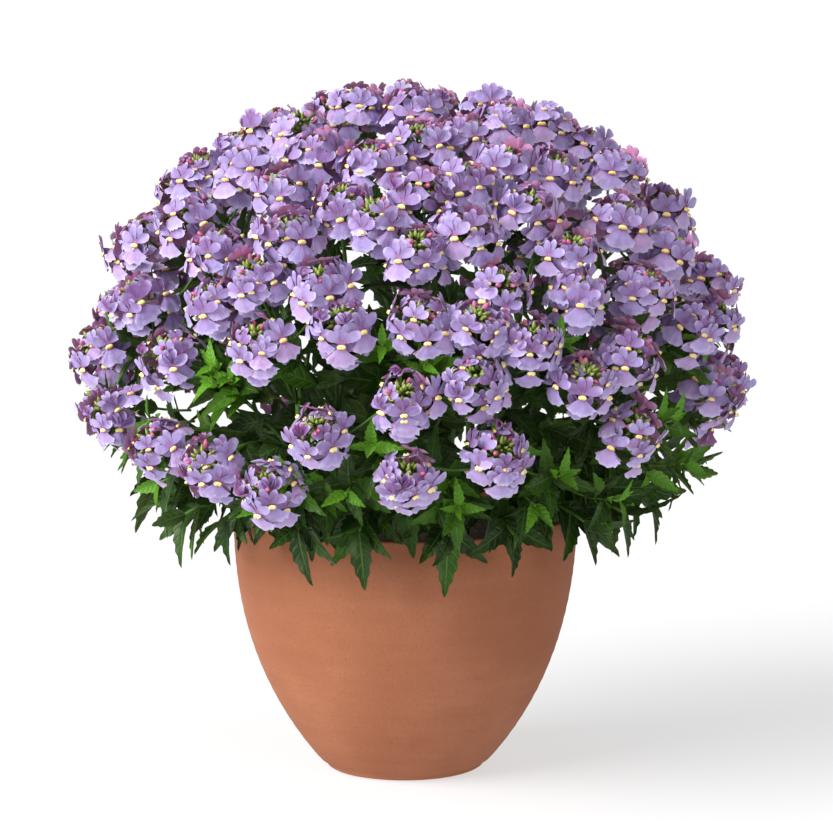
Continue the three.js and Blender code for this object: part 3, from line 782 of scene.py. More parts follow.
@dataclass
class View:
    """The view in which the flower heads were read, in pixels of a picture 833 pixels square."""

    centre: float = 416.5
    scale: float = 0.54 * MM
    distance: float = 2.6
    tilt: float = 0.1728
    aim: tuple[float, float, float] = (6.2 * MM, 0.0, 192 * MM)

    @property
    def along(self) -> Array:
        """The direction in which the view looks."""
        return np.array([0.0, math.cos(self.tilt), -math.sin(self.tilt)])

    @property
    def up(self) -> Array:
        """The direction that is up in the view."""
        return np.array([0.0, math.sin(self.tilt), math.cos(self.tilt)])

    @property
    def eye(self) -> Array:
        """The point from which the view looks."""
        return np.array(self.aim) - self.distance * self.along

    def rays(self, pixels: Array) -> Array:
        """Gives the unit directions in which pixels look."""
        right = (pixels[:, :1] - self.centre) * self.scale * np.array([[1.0, 0.0, 0.0]])
        upward = (self.centre - pixels[:, 1:]) * self.scale * self.up
        return unit(self.distance * self.along + right + upward)

    def pixels(self, places: Array) -> Array:
        """Gives the pixels at which places show."""
        way = places - self.eye
        zoom = self.distance / (way @ self.along) / self.scale
        return np.stack([self.centre + way[:, 0] * zoom, self.centre - way @ self.up * zoom], -1)


@dataclass
class Dome:
    """The flattened ball on which the heads' middles lie."""

    middle: Array = field(default_factory=lambda: np.array([3.8, 0.0, 218.0]) * MM)
    radii: Array = field(default_factory=lambda: np.array([171.0, 171.0, 145.0]) * MM)

    def share(self, places: Array) -> Array:
        """Gives how far out places lie: 1 on the dome."""
        return np.linalg.norm((places - self.middle) / self.radii, axis=-1)

    def normal(self, places: Array) -> Array:
        """Gives the unit directions straight out of the dome."""
        return unit((places - self.middle) / self.radii**2)

    def onto(self, places: Array, share: float = 1.0) -> Array:
        """Moves places along their lines from the middle to a share of the dome."""
        scale = share / self.share(places)[..., None]
        return self.middle + (places - self.middle) * scale


@dataclass
class Heads:
    """Where the flower heads are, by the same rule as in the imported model."""

    seen: tuple[tuple[int, int], ...] = (
        (298, 127), (357, 104), (403, 98), (489, 100), (315, 152), (417, 141), (457, 135),
        (505, 163), (281, 187), (343, 201), (422, 191), (286, 232), (372, 160), (417, 246),
        (321, 282), (252, 275), (214, 246), (503, 286), (341, 323), (419, 318), (476, 322),
        (551, 126), (556, 170), (530, 207), (618, 168), (622, 217), (572, 250), (580, 292),
        (647, 286), (668, 247), (715, 276), (696, 325), (672, 200), (602, 135), (82, 345),
        (136, 296), (167, 352), (256, 341), (106, 412), (153, 442), (205, 462), (268, 486),
        (317, 430), (403, 397), (407, 477), (475, 378), (500, 452), (532, 340), (585, 378),
        (635, 430), (734, 378), (375, 215), (468, 230), (462, 180), (212, 300), (632, 350),
    )
    unseen_disc: tuple[tuple[float, float], float] = ((158.0, 170.0), 100.0)
    tries: int = 620
    apart: float = 37.5 * MM
    facing: float = 0.35
    lowest: float = 186 * MM
    lean: float = 0.5
    tip: float = 7.5 * MM
    view: View = field(default_factory=View)
    dome: Dome = field(default_factory=Dome)

    def __post_init__(self) -> None:
        """Works out the middles, the normals and the axes of all heads."""
        self.middle = np.concatenate([self._seen_middles(), self._hidden_middles()])
        self.normal = self.dome.normal(self.middle)
        self.axis = unit(self.lean * self.normal + (1 - self.lean) * UP)

    def _seen_middles(self) -> Array:
        """Gives the points of the dome at the seen heads' pixels, or the nearest past its edge."""
        ray = self.view.rays(np.array(self.seen, float)) / self.dome.radii
        start = (self.view.eye - self.dome.middle) / self.dome.radii
        square = (ray**2).sum(-1)
        half = ray @ start
        inside = np.maximum(half**2 - square * (start @ start - 1), 0)
        travel = (-half - np.sqrt(inside)) / square
        return self.dome.onto(self.view.eye + travel[:, None] * ray * self.dome.radii)

    def _hidden_middles(self) -> Array:
        """Gives the heads that the view doesn't show, on a golden-angle spiral down the dome."""
        order = np.arange(self.tries)
        top = self.dome.middle[2] + self.dome.radii[2]
        high = self.lowest + (top - self.lowest) * (1 - (order + 0.5) / self.tries)
        level = (high - self.dome.middle[2]) / self.dome.radii[2]
        flat = np.sqrt(np.maximum(0, 1 - level**2)) * self.dome.radii[0]
        turn = order * GOLDEN_ANGLE
        x = self.dome.middle[0] + flat * np.cos(turn)
        places = np.stack([x, flat * np.sin(turn), high], -1)
        disc, radius = self.unseen_disc
        masked = np.linalg.norm(self.view.pixels(places) - disc, axis=1) < radius
        away = self.dome.normal(places) @ self.view.along > -self.facing
        taken = list(self._seen_middles())
        kept: list[Array] = []
        for place in places[masked | away]:
            if np.linalg.norm(np.array(taken) - place, axis=1).min() > self.apart:
                taken.append(place)
                kept.append(place)
        return np.array(kept)


@dataclass
class Spray:
    """One packed spray: its node, its heads and the foot on which it stands."""

    node: str
    heads: Array
    foot: Array


def find_sprays(nodes: dict[str, bpy.types.Object], heads: Heads) -> list[Spray]:
    """Finds which heads each packed spray has, from the tip that each head's core comes to.

    Args:
        nodes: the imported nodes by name.
        heads: where the heads are.

    Returns:
        The sprays in the order of their names.
    """
    names = sorted(name for name in nodes if name.startswith("flower_spray"))
    clouds = []
    for name in names:
        flat = np.empty(3 * len(nodes[name].data.vertices), np.float32)
        nodes[name].data.vertices.foreach_get("co", flat)
        clouds.append(flat.reshape(-1, 3).astype(float))
    tips = heads.middle + heads.tip * heads.axis
    gaps = np.stack([np.linalg.norm(tips[:, None] - c[None], axis=-1).min(1) for c in clouds], -1)
    owner = gaps.argmin(1)
    LOG.info("each head's tip is within %.3f mm of its spray", gaps.min(1).max() / MM)
    sprays = []
    for k, (name, cloud) in enumerate(zip(names, clouds)):
        foot = cloud[heads.dome.share(cloud).argmin()]
        sprays.append(Spray(name, np.nonzero(owner == k)[0], foot))
    return sprays


@dataclass
class Sectors:
    """The ten sectors round a middle column in which the leafy stems stand."""

    count: int = 10
    column: float = 38 * MM

    def turn(self, sector: Array | int) -> Array:
        """Gives the direction of a sector's middle as an angle."""
        return -math.pi / 2 + 2 * math.pi / self.count * np.asarray(sector)

    def spoke(self, turn: Array | float) -> Array:
        """Gives the level unit vector at an angle."""
        turn = np.asarray(turn, float)
        return np.stack([np.cos(turn), np.sin(turn), np.zeros_like(turn)], -1)

    def of(self, place: Array) -> int:
        """Gives the sector of a place, or the count for the middle column."""
        turn = math.atan2(place[1], place[0]) + math.pi / 2 + math.pi / self.count
        sector = int((turn % (2 * math.pi)) / (2 * math.pi / self.count))
        return self.count if place @ self.spoke(self.turn(sector)) < self.column else sector


def draws_from(seed: int, count: int) -> list[float]:
    """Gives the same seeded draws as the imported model's: a 32-bit counter, stirred twice.

    Args:
        seed: the seed.
        count: how many draws to give.

    Returns:
        Numbers from 0 to 1.
    """
    word, step = 0xFFFFFFFF, 0x6D2B79F5
    state = seed & word
    found = []
    for _ in range(count):
        state = (state + step) & word
        t = ((state ^ (state >> 15)) * (state | 1)) & word
        t ^= (t + (((t ^ (t >> 7)) * (t | 61)) & word)) & word
        found.append(((t ^ (t >> 14)) & word) / (word + 1))
    return found


# Flowers


class Bloom(Enum):
    """How far open a floret is."""

    YOUNG = "young"
    FULL = "full"
    SPENT = "spent"


class PetalFace(IntEnum):
    """The finishes of the bloom pieces, by number."""

    FRONT = 0
    BACK = 1
    PALATE = 2
    TUBE = 3


class BudFace(IntEnum):
    """The finishes of the bud pieces, by number."""

    GREEN = 0
    PINK = 1
    STEM = 2


@dataclass
class Floret:
    """A two-lipped floret with its throat at the origin, facing +Z, and its upper lobes up +Y."""

    state: Bloom
    seed: int
    lip_length: float = 11.2 * MM
    lip_spread: float = 0.88
    lobe_length: float = 8.8 * MM
    lobe_half: float = 3.5 * MM
    thick: float = 0.25 * MM
    lip_columns: int = 13
    lip_rows: tuple[float, ...] = (0.1, 0.55, 1.0)
    frill_depth: float = 0.025
    lobes: tuple[tuple[float, float, float], ...] = (
        (-0.33, 0.8, -0.3), (0.33, 0.8, -0.3), (-1.08, 1.0, -0.15), (1.08, 1.0, -0.15),
    )

    def __post_init__(self) -> None:
        """Draws what varies from one floret to the next."""
        draw = np.random.default_rng(self.seed)
        self.phase = draw.uniform(0, 2 * np.pi)
        self.curl = draw.uniform(0.6, 1.3)
        self.notch = draw.uniform(0.04, 0.16)
        teeth = self.frill_depth * (-1.0) ** np.arange(self.lip_columns)
        self.frill = draw.normal(0, self.frill_depth, self.lip_columns) + teeth
        self.ruffle = draw.normal(0, 0.5 * MM, self.lip_columns)
        self.cups = draw.uniform(-0.12, 0.35, 4)
        self.turns = draw.uniform(-0.16, 0.16, 4)
        self.shares = draw.uniform(0.88, 1.08, 4)
        self.open = {Bloom.YOUNG: 0.7, Bloom.FULL: 1.0, Bloom.SPENT: 0.85}[self.state]

    def lip(self) -> Patch:
        """Makes the lower lip: a fan with a frilled edge and a middle notch.

        A point at share t of the radius and angle a has x = r sin a and y = -r cos a. It bulges
        forward below the throat and rolls back towards its edge, which waves to and fro.
        """
        s = np.linspace(-1, 1, self.lip_columns)[None, :]
        t = np.array(self.lip_rows)[:, None]
        angle = s * self.lip_spread * self.open * (0.8 + 0.2 * t)
        edge = self.frill - self.notch * (np.abs(s) < 0.05)
        radius = self.lip_length * self.open * t * (1 - 0.09 * s**2 + edge * t**4)
        bulge = 1.5 * MM * np.exp(-(((t - 0.36) / 0.24) ** 2)) * (1 - 0.6 * s**2)
        roll = -1.6 * MM * self.curl * t**2.4 + 1.3 * MM * t + self.ruffle * t**3
        sag = 1.6 * MM if self.state is Bloom.SPENT else 0.5 * MM
        depth = bulge + roll - sag * s**2 * t
        front = np.stack([radius * np.sin(angle), -radius * np.cos(angle) - 0.8 * MM, depth], -1)
        tone = 0.1 + 0.1 * t - 0.1 * s**2
        return blade(front, self.thick, tone, (PetalFace.FRONT, PetalFace.BACK))

    def lobe(self, number: int, turn: float, wide: float, tone: float) -> Patch:
        """Makes an upper lobe from a square grid pressed into a disc, narrower towards its root.

        With X and Y of the disc, x = half X (0.5 + 0.5 (Y + 1) / 2) and y = length (Y + 1) / 2,
        and it is cupped by the square of x.

        Args:
            number: which of the four lobes it is.
            turn: how far it is turned from +Y.
            wide: its width as a share of the widest.
            tone: its tone.

        Returns:
            The lobe with its root near the throat.
        """
        s = np.linspace(-1, 1, 4)[None, :]
        t = np.linspace(-1, 1, 4)[:, None]
        across = s * np.sqrt(1 - t**2 / 2)
        along = (t * np.sqrt(1 - s**2 / 2) + 1) / 2
        length = self.lobe_length * self.shares[number] * (0.75 + 0.25 * self.open)
        x = self.lobe_half * wide * across * (0.5 + 0.5 * along)
        cup = self.cups[number] + (0.9 if self.state is not Bloom.FULL else 0.0)
        wave = 0.45 * MM * np.sin(2.6 * across + 4 * along + self.phase + number)
        depth = cup * across**2 * self.lobe_half + 1.8 * MM * along**2 * (0.25 - cup) + wave * along
        front = np.stack([x, length * along, depth], -1)
        lean = (turn + self.turns[number]) * self.open
        cosine, sine = math.cos(lean), math.sin(lean)
        matrix = np.array([[cosine, -sine, 0.0], [sine, cosine, 0.0], [0.0, 0.0, 1.0]])
        made = blade(front, self.thick, tone, (PetalFace.FRONT, PetalFace.BACK), along)
        return made.moved(matrix, np.array([0.9 * MM * sine, 0.7 * MM * cosine, 0.15 * MM * number]))

    def palate(self) -> Patch:
        """Makes the two throat bumps as one pillow with a groove down its middle."""
        s = np.array([-1, -0.52, 0, 0.52, 1])[None, :]
        t = np.linspace(-1, 1, 4)[:, None]
        groove = 1 - 0.6 * np.exp(-((s / 0.2) ** 2))
        high = 1.9 * MM * np.sqrt((1 - s**2) * (1 - t**2)) * groove
        x = 2.15 * MM * s * np.sqrt(1 - 0.4 * t**2)
        y = 1.35 * MM * t * np.sqrt(1 - 0.4 * s**2) - 1.9 * MM
        front = np.stack([x, np.broadcast_to(y, high.shape), high + 0.9 * MM], -1)
        return blade(front, 0.2 * MM, 0.0, (PetalFace.PALATE, PetalFace.PALATE))

    def tube(self) -> Patch:
        """Makes the short tube behind the throat."""
        profile = np.array([[0.6, -4.6], [1.5, -2.2], [2.1, 0.1]]) * MM
        return turned(profile, 4, np.array([0.2, 0.6, 0.4]), PetalFace.TUBE)

    def whole(self) -> Patch:
        """Joins the floret's parts."""
        pieces = [self.lip(), self.tube()]
        if self.state is not Bloom.YOUNG:
            pieces.append(self.palate())
        for number, (turn, wide, tone) in enumerate(self.lobes):
            pieces.append(self.lobe(number, turn, wide, tone))
        return Patch.joined(pieces, one_copy=True)


@dataclass(frozen=True)
class Ring:
    """A ring of florets in a head: how many, how wide, how high, how far they face up, how big."""

    count: int
    radius: float
    lift: float
    rise: float
    size: float

    def turns(self, start: float) -> Array:
        """Gives the directions of the florets round the head."""
        return start + 2 * np.pi * np.arange(self.count) / self.count


@dataclass
class FlowerHeads:
    """The florets, buds and stalks of all flower heads."""

    heads: Heads
    sprays: list[Spray]
    sectors: Sectors
    seed: int = 71
    full_kinds: int = 6
    young_kinds: int = 2
    young_share: float = 0.3
    young_tone: float = -0.35
    spent_share: float = 0.07
    rings: tuple[Ring, ...] = (
        Ring(count=4, radius=8.9 * MM, lift=3.4 * MM, rise=0.7, size=0.84),
        Ring(count=7, radius=13.6 * MM, lift=0.0, rise=0.16, size=1.0),
        Ring(count=4, radius=11.5 * MM, lift=-8.0 * MM, rise=-0.05, size=0.98),
    )
    cluster: int = 32
    cluster_radius: float = 6.2 * MM
    round_buds: int = 3
    round_reach: float = 7.0 * MM
    stalk_radius: float = 0.75 * MM
    floret_stalk_radius: float = 0.42 * MM

    def __post_init__(self) -> None:
        """Sets up the draws, the floret kinds, the pointed bud and the round one."""
        self.draw = np.random.default_rng(self.seed)
        states = [Bloom.FULL] * self.full_kinds + [Bloom.YOUNG] * self.young_kinds + [Bloom.SPENT]
        self.florets = [Floret(state, 100 + k).whole() for k, state in enumerate(states)]
        pointed = np.array([[0.5, -1.0], [1.25, 1.0], [0.12, 3.4]]) * MM
        self.pointed = turned(pointed, 4, np.array([0.0, 0.35, 0.7]), BudFace.GREEN)
        egg = np.array([[0.4, -1.5], [1.3, 0.0], [1.6, 1.8], [1.2, 3.6], [0.3, 4.6]]) * MM
        self.egg = turned(egg, 6, np.array([0.1, 0.4, 0.6, 0.8, 0.9]), BudFace.PINK)

    def _round(self, head: int) -> tuple[Array, Array]:
        """Gives two unit vectors square to a head's axis."""
        side = unit(np.cross(self.heads.axis[head], np.array([0.3, 1.0, 0.1])))
        return side, np.cross(self.heads.axis[head], side)

    def florets_of(self, head: int) -> tuple[Layout, Array]:
        """Sets a head's florets in its rings.

        A floret's place is the middle plus the ring's radius outward and its lift along the axis.
        It faces outward and up, and its lobes point as far up as that allows.

        Args:
            head: the head's number.

        Returns:
            Where the florets are, and the kind of each.
        """
        draw = self.draw
        axis, normal = self.heads.axis[head], self.heads.normal[head]
        start = draw.uniform(0, 2 * np.pi)
        turn = np.concatenate([r.turns(start + 0.5 * k) for k, r in enumerate(self.rings)])
        ring = np.repeat(np.arange(len(self.rings)), [r.count for r in self.rings])
        table = np.array([[r.radius, r.lift, r.rise, r.size] for r in self.rings])
        radius, lift, rise, size = table[ring].T
        count = len(turn)
        turn = turn + draw.normal(0, 0.2, count)
        radius = radius + draw.normal(0, 1.5 * MM, count)
        lift = lift + draw.normal(0, 1.8 * MM, count)
        outward = around(turn, *self._round(head))
        origins = self.heads.middle[head] + radius[:, None] * outward + lift[:, None] * axis
        facing = outward + rise[:, None] * axis + 0.34 * normal
        ahead = unit(facing + draw.normal(0, 0.17, (count, 3)))
        up = square_to(0.62 * UP + 0.38 * axis + draw.normal(0, 0.13, (count, 3)), ahead)
        axes = np.stack([np.cross(up, ahead), up, ahead], 1)
        sizes = size * draw.uniform(0.86, 1.1, count) * draw.uniform(0.94, 1.06)
        tones = draw.normal(0, 0.18, count) + draw.normal(0, 0.07)
        kinds = draw.integers(0, self.full_kinds, count)
        is_young = (ring == 0) & (draw.random(count) < self.young_share)
        young = self.full_kinds + draw.integers(0, self.young_kinds, count)
        is_spent = (ring > 0) & (draw.random(count) < self.spent_share)
        kinds = np.where(is_spent, len(self.florets) - 1, np.where(is_young, young, kinds))
        tones = tones + np.where(is_young, self.young_tone, 0.0)
        return Layout(axes, origins, sizes, tones), kinds

    def buds_of(self, head: int) -> Layout:
        """Sets a head's green buds on a small dome by the golden angle."""
        side, other = self._round(head)
        order = np.arange(self.cluster) + 0.5
        tip = np.arccos(1 - 0.9 * order / self.cluster)
        turn = order * GOLDEN_ANGLE + self.draw.uniform(0, 6)
        way = around(tip, self.heads.axis[head], around(turn, side, other))
        way = unit(way + self.draw.normal(0, 0.14, way.shape))
        reach = self.cluster_radius * self.draw.uniform(0.75, 1.0, self.cluster)
        origins = self.heads.middle[head] + reach[:, None] * way
        sizes = self.draw.uniform(0.8, 1.25, self.cluster)
        tones = self.draw.normal(0.0, 0.12, self.cluster)
        return Layout(axes_on(way, side), origins, sizes, tones)

    def round_buds_of(self, head: int) -> Layout:
        """Sets a head's round pink buds at the edge of its cluster."""
        axis, count = self.heads.axis[head], self.round_buds
        outward = around(self.draw.uniform(0, 2 * np.pi, count), *self._round(head))
        way = unit(outward + self.draw.uniform(0.5, 1.1, count)[:, None] * axis)
        origins = self.heads.middle[head] + self.round_reach * way + 0.6 * MM * axis
        sizes = self.draw.uniform(0.6, 1.0, count)
        return Layout(axes_on(way, axis), origins, sizes, self.draw.normal(-0.1, 0.2, count))

    def stalk_paths(self, spray: Spray) -> Array:
        """Gives each head's stalk as an arc from under the head to the spray's foot."""
        middle, axis = self.heads.middle[spray.heads], self.heads.axis[spray.heads]
        start = middle + 2.0 * MM * axis
        foot = np.broadcast_to(spray.foot, start.shape)
        reach = np.linalg.norm(foot - start, axis=1, keepdims=True)
        return arcs(start, start - 0.62 * reach * axis, foot, 6)

    def build(self, finishes: dict[str, list[bpy.types.Material]]) -> None:
        """Makes a bloom piece and a bud piece for each sector's sprays."""
        groups: dict[int, list[Spray]] = {}
        for spray in self.sprays:
            groups.setdefault(self.sectors.of(spray.foot), []).append(spray)
        for sector, sprays in sorted(groups.items()):
            blooms: list[Patch] = []
            greens: list[Patch] = []
            for spray in sprays:
                paths = self.stalk_paths(spray)
                greens.append(stalks(paths, self.stalk_radius, 6, 0.25, BudFace.STEM))
                for head in spray.heads:
                    self._add_head(int(head), blooms, greens)
            label = f"{sector + 1:02d}"
            nodes = [spray.node for spray in sprays]
            add_piece(f"blooms_{label}", Patch.joined(blooms), finishes["petals"], nodes)
            add_piece(f"buds_{label}", Patch.joined(greens), finishes["buds"])

    def _add_head(self, head: int, blooms: list[Patch], greens: list[Patch]) -> None:
        """Adds one head's florets to the blooms, and its buds and fine stalks to the greens."""
        layout, kinds = self.florets_of(head)
        blooms += scattered_kinds(self.florets, kinds, layout)
        ahead = layout.axes[:, 2]
        back = layout.origins - 4.2 * MM * layout.sizes[:, None] * ahead
        core = self.heads.middle[head] - 3.0 * MM * self.heads.axis[head]
        paths = arcs(back, back - 2.5 * MM * ahead, np.broadcast_to(core, back.shape), 2)
        greens.append(stalks(paths, self.floret_stalk_radius, 4, 0.5, BudFace.STEM))
        greens.append(self.pointed.scattered(self.buds_of(head)))
        greens.append(self.egg.scattered(self.round_buds_of(head)))


# Leaves and stems


class LeafFace(IntEnum):
    """The finishes of the foliage pieces, by number."""

    UPPER = 0
    UNDER = 1
    STEM = 2


@dataclass(frozen=True)
class LeafPairs:
    """Leaf pairs on a branch: how far along it, how big, in which tone, how far they hang."""

    shares: tuple[float, ...]
    size: float
    tone: float
    hang: float


@dataclass(frozen=True)
class Branch:
    """A kind of branch: its radius, its number of sides, its tone and its leaf pairs."""

    radius: float
    sides: int
    tone: float
    pairs: tuple[LeafPairs, ...]


@dataclass
class Leaf:
    """A toothed, pointed leaf from the origin along +Y, with its upper face up +Z."""

    droop: float
    fold: float
    twist: float
    teeth: float = 0.17
    length: float = 30 * MM
    half: float = 6.4 * MM
    thick: float = 0.3 * MM
    rows: int = 11

    def whole(self) -> Patch:
        """Makes the leaf.

        Its half width is a sine of a power of the share along it, widest in its lower third, and
        cut back between the teeth, which point forward. It folds up along the middle by its fold,
        twists by its twist and droops with the square of the share.
        """
        t = np.linspace(0, 1, self.rows)[:, None] ** 0.95
        s = np.linspace(-1, 1, 5)[None, :]
        wide = np.maximum(np.sin(np.pi * t**0.66) ** 0.9, 0.07) * (1 - 0.12 * t)
        is_tooth = (np.arange(self.rows) % 2 == 1)[:, None] & (t < 0.95)
        is_edge = np.abs(s) > 0.9
        x = s * self.half * wide * np.where(is_edge & ~is_tooth, 1 - self.teeth, 1.0)
        y = t * self.length + np.where(is_edge & is_tooth, 0.03 * self.length, 0.0)
        quilt = 0.3 * MM * np.where(np.abs(s) == 0.5, np.where(is_tooth, 1.0, -0.5), 0.0)
        z = self.fold * np.abs(x) - self.droop * self.length * t**2 + quilt * wide + self.twist * x * t
        front = np.stack([x, np.broadcast_to(y, x.shape), z], -1)
        return blade(front, self.thick, 0.0, (LeafFace.UPPER, LeafFace.UNDER))


@dataclass
class Foliage:
    """The square stems, the side branches and the leaves of the plant."""

    heads: Heads
    sprays: list[Spray]
    sectors: Sectors
    seed: int = 305
    soil_top: float = 128 * MM
    hole_depth: float = 11.7 * MM
    root: float = 54 * MM
    waist: float = 60 * MM
    crown: float = 205 * MM
    middle_crown: float = 245 * MM
    stem_half: float = 1.7 * MM
    fall: float = 60 * MM
    steps: int = 8
    shoot_count: int = 5
    shoot_heights: tuple[float, float] = (165 * MM, 262 * MM)
    rim_count: int = 3
    rim_heights: tuple[float, float] = (158 * MM, 184 * MM)
    rim_reaches: tuple[float, float] = (128 * MM, 158 * MM)
    half_sector: float = 0.31
    flowering: Branch = Branch(
        1.1 * MM, 6, 0.2, (LeafPairs((0.22, 0.4, 0.57, 0.74, 0.9), 1.0, 0.25, 0.2),)
    )
    skirt: Branch = Branch(
        1.0 * MM, 6, 0.2, (LeafPairs((0.42, 0.55, 0.68, 0.8, 0.9, 0.99), 1.0, 0.3, 0.45),)
    )
    rim: Branch = Branch(
        0.9 * MM,
        4,
        0.4,
        (LeafPairs((0.3, 0.5, 0.7, 0.86), 0.95, 0.35, 0.2), LeafPairs((0.97,), 0.6, 0.75, 0.1)),
    )
    shoot: Branch = Branch(
        0.7 * MM,
        4,
        0.6,
        (LeafPairs((0.4, 0.58, 0.74), 0.85, 0.45, 0.15), LeafPairs((0.87, 0.97), 0.5, 0.85, -0.2)),
    )

    def __post_init__(self) -> None:
        """Sets up the draws and the leaf kinds."""
        self.draw = np.random.default_rng(self.seed)
        bends = [(0.12, 0.3, 0.1), (0.25, 0.42, -0.12), (0.38, 0.25, 0.05), (0.05, 0.5, 0.0)]
        self.leaves = [Leaf(*bend).whole() for bend in bends]

    def trunk(self, sector: int) -> Array:
        """Gives the points of a sector's main stem, or of the middle column's."""
        in_ring = sector < self.sectors.count
        out = self.sectors.spoke(self.sectors.turn(sector)) * (1.0 if in_ring else 0.0)
        crown = self.crown if in_ring else self.middle_crown
        soil = self.soil_top
        heights = [soil - self.hole_depth, soil + 6 * MM, (soil + crown) / 2, crown]
        reach = [self.root, self.root, self.waist, self.waist]
        return np.array([out * r + UP * h for r, h in zip(reach, heights)])

    def on_trunk(self, sector: int, heights: Array) -> Array:
        """Gives the points of a main stem at heights."""
        trunk = self.trunk(sector)
        return np.stack([np.interp(heights, trunk[:, 2], trunk[:, k]) for k in range(3)], -1)

    def flower_branches(self, sector: int) -> Array:
        """Gives the arcs from a main stem to the feet of its sprays."""
        feet = np.array([s.foot for s in self.sprays if self.sectors.of(s.foot) == sector])
        if not len(feet):
            return np.zeros((0, self.steps + 1, 3))
        normal = self.heads.dome.normal(feet)
        crown = self.crown if sector < self.sectors.count else self.middle_crown
        low, high = self.soil_top + 24 * MM, crown - 4 * MM
        start = self.on_trunk(sector, np.clip(feet[:, 2] - self.fall, low, high))
        reach = np.linalg.norm(feet - start, axis=1, keepdims=True)
        return arcs(start, feet - 0.45 * reach * normal, feet, self.steps)

    def skirt_branches(self, sector: int) -> Array:
        """Gives the arcs of the three branches of a sector that hang out over the rim."""
        draws = draws_from(4001 + 17 * sector, 15)
        paths = []
        for way, first in ((-1, 0), (0, 7), (1, 12)):
            reach, end, over, start = (108, 168, 192, 34) if way == 0 else (122, 149, 172, 20)
            out = self.sectors.spoke(self.sectors.turn(sector) + way * (0.16 + 0.03 * draws[first]))
            tip = out * (reach + 14 * draws[first + 1]) * MM + UP * (end + 8 * draws[first + 2]) * MM
            bend = out * 84 * MM + UP * over * MM
            height = self.soil_top + (start + 3 * way) * MM
            root = self.on_trunk(sector, np.array([height]))[0]
            paths.append(arcs(root[None], bend[None], tip[None], self.steps)[0])
        return np.array(paths)

    def leaf_pairs(self, paths: Array, pairs: LeafPairs) -> list[Patch]:
        """Sets opposite pairs of leaves on branches, each pair square to the last.

        Args:
            paths: the branches.
            pairs: where on them the pairs are, and how they look.

        Returns:
            The leaves as patches, one for each leaf kind.
        """
        draw = self.draw
        origins, axes = [], []
        steps = paths.shape[1] - 1
        for number, share in enumerate(pairs.shares):
            k = min(int(share * steps), steps - 1)
            part = share * steps - k
            root = paths[:, k] * (1 - part) + paths[:, k + 1] * part
            branch = unit(paths[:, k + 1] - paths[:, k])
            normal = self.heads.dome.normal(root)
            level = square_to(np.cross(branch, normal) + 1e-6, branch)
            across = level if number % 2 == 0 else np.cross(branch, level)
            for way in (-1.0, 1.0):
                lean = draw.uniform(0.35, 0.9, len(root))
                spin = draw.normal(0, 0.35, len(root))
                side = way * around(spin, across, np.cross(branch, across))
                along = unit(around(lean, side, branch) - pairs.hang * UP + 0.25 * normal)
                lift = square_to(0.35 * UP + 0.9 * normal + draw.normal(0, 0.15, root.shape), along)
                origins.append(root)
                axes.append(np.stack([np.cross(along, lift), along, lift], 1))
        origin = np.concatenate(origins)
        count = len(origin)
        kinds = draw.integers(0, len(self.leaves), count)
        sizes = pairs.size * draw.uniform(0.75, 1.15, count)
        tones = pairs.tone + draw.normal(0, 0.1, count)
        return scattered_kinds(self.leaves, kinds, Layout(np.concatenate(axes), origin, sizes, tones))

    def shoots(self, sector: int) -> Array:
        """Gives short leafy shoots that come up between the lower heads of a sector."""
        draw, count, dome = self.draw, self.shoot_count, self.heads.dome
        turn = self.sectors.turn(sector) + draw.uniform(-self.half_sector, self.half_sector, count)
        high = draw.uniform(*self.shoot_heights, count)
        level = (high - dome.middle[2]) / dome.radii[2]
        reach = np.sqrt(1 - level**2) * dome.radii[0]
        place = self.sectors.spoke(turn) * reach[:, None] + dome.middle * [1, 1, 0]
        place[:, 2] = high
        tip = dome.onto(place, 0.96)
        start = dome.onto(place, 0.7) - UP * 12 * MM
        return arcs(start, (start + tip) / 2 - 5 * MM * UP, tip, self.steps)

    def rim_shoots(self, sector: int) -> Array:
        """Gives shoots that reach out sideways under the lowest heads of a sector."""
        draw, count = self.draw, self.rim_count
        turn = self.sectors.turn(sector) + draw.uniform(-self.half_sector, self.half_sector, count)
        spoke = self.sectors.spoke(turn)
        reach = draw.uniform(*self.rim_reaches, count)[:, None]
        high = draw.uniform(*self.rim_heights, count)[:, None]
        tip = spoke * reach + high * UP
        start = spoke * 72 * MM + UP * 168 * MM
        return arcs(start, (start + tip) / 2 + 12 * MM * UP, tip, self.steps)

    def grown(self, paths: Array, kind: Branch) -> list[Patch]:
        """Gives branches of a kind with their leaf pairs."""
        if not len(paths):
            return []
        pieces = [stalks(paths, kind.radius, kind.sides, kind.tone, LeafFace.STEM)]
        for pairs in kind.pairs:
            pieces += self.leaf_pairs(paths, pairs)
        return pieces

    def build(self, finishes: list[bpy.types.Material]) -> None:
        """Makes one leafy piece for each main stem."""
        corner = self.stem_half * np.array([[math.sqrt(2), 1.35, 1.2, 1.0]])
        for sector in range(self.sectors.count + 1):
            pieces = [stalks(self.trunk(sector)[None], corner, 4, 0.15, LeafFace.STEM)]
            pieces += self.grown(self.flower_branches(sector), self.flowering)
            if sector < self.sectors.count:
                pieces += self.grown(self.skirt_branches(sector), self.skirt)
                pieces += self.grown(self.rim_shoots(sector), self.rim)
                pieces += self.grown(self.shoots(sector), self.shoot)
            name = f"leafy_stem_{sector + 1:02d}"
            add_piece(f"foliage_{sector + 1:02d}", Patch.joined(pieces), finishes, [name])


# The pot and the soil


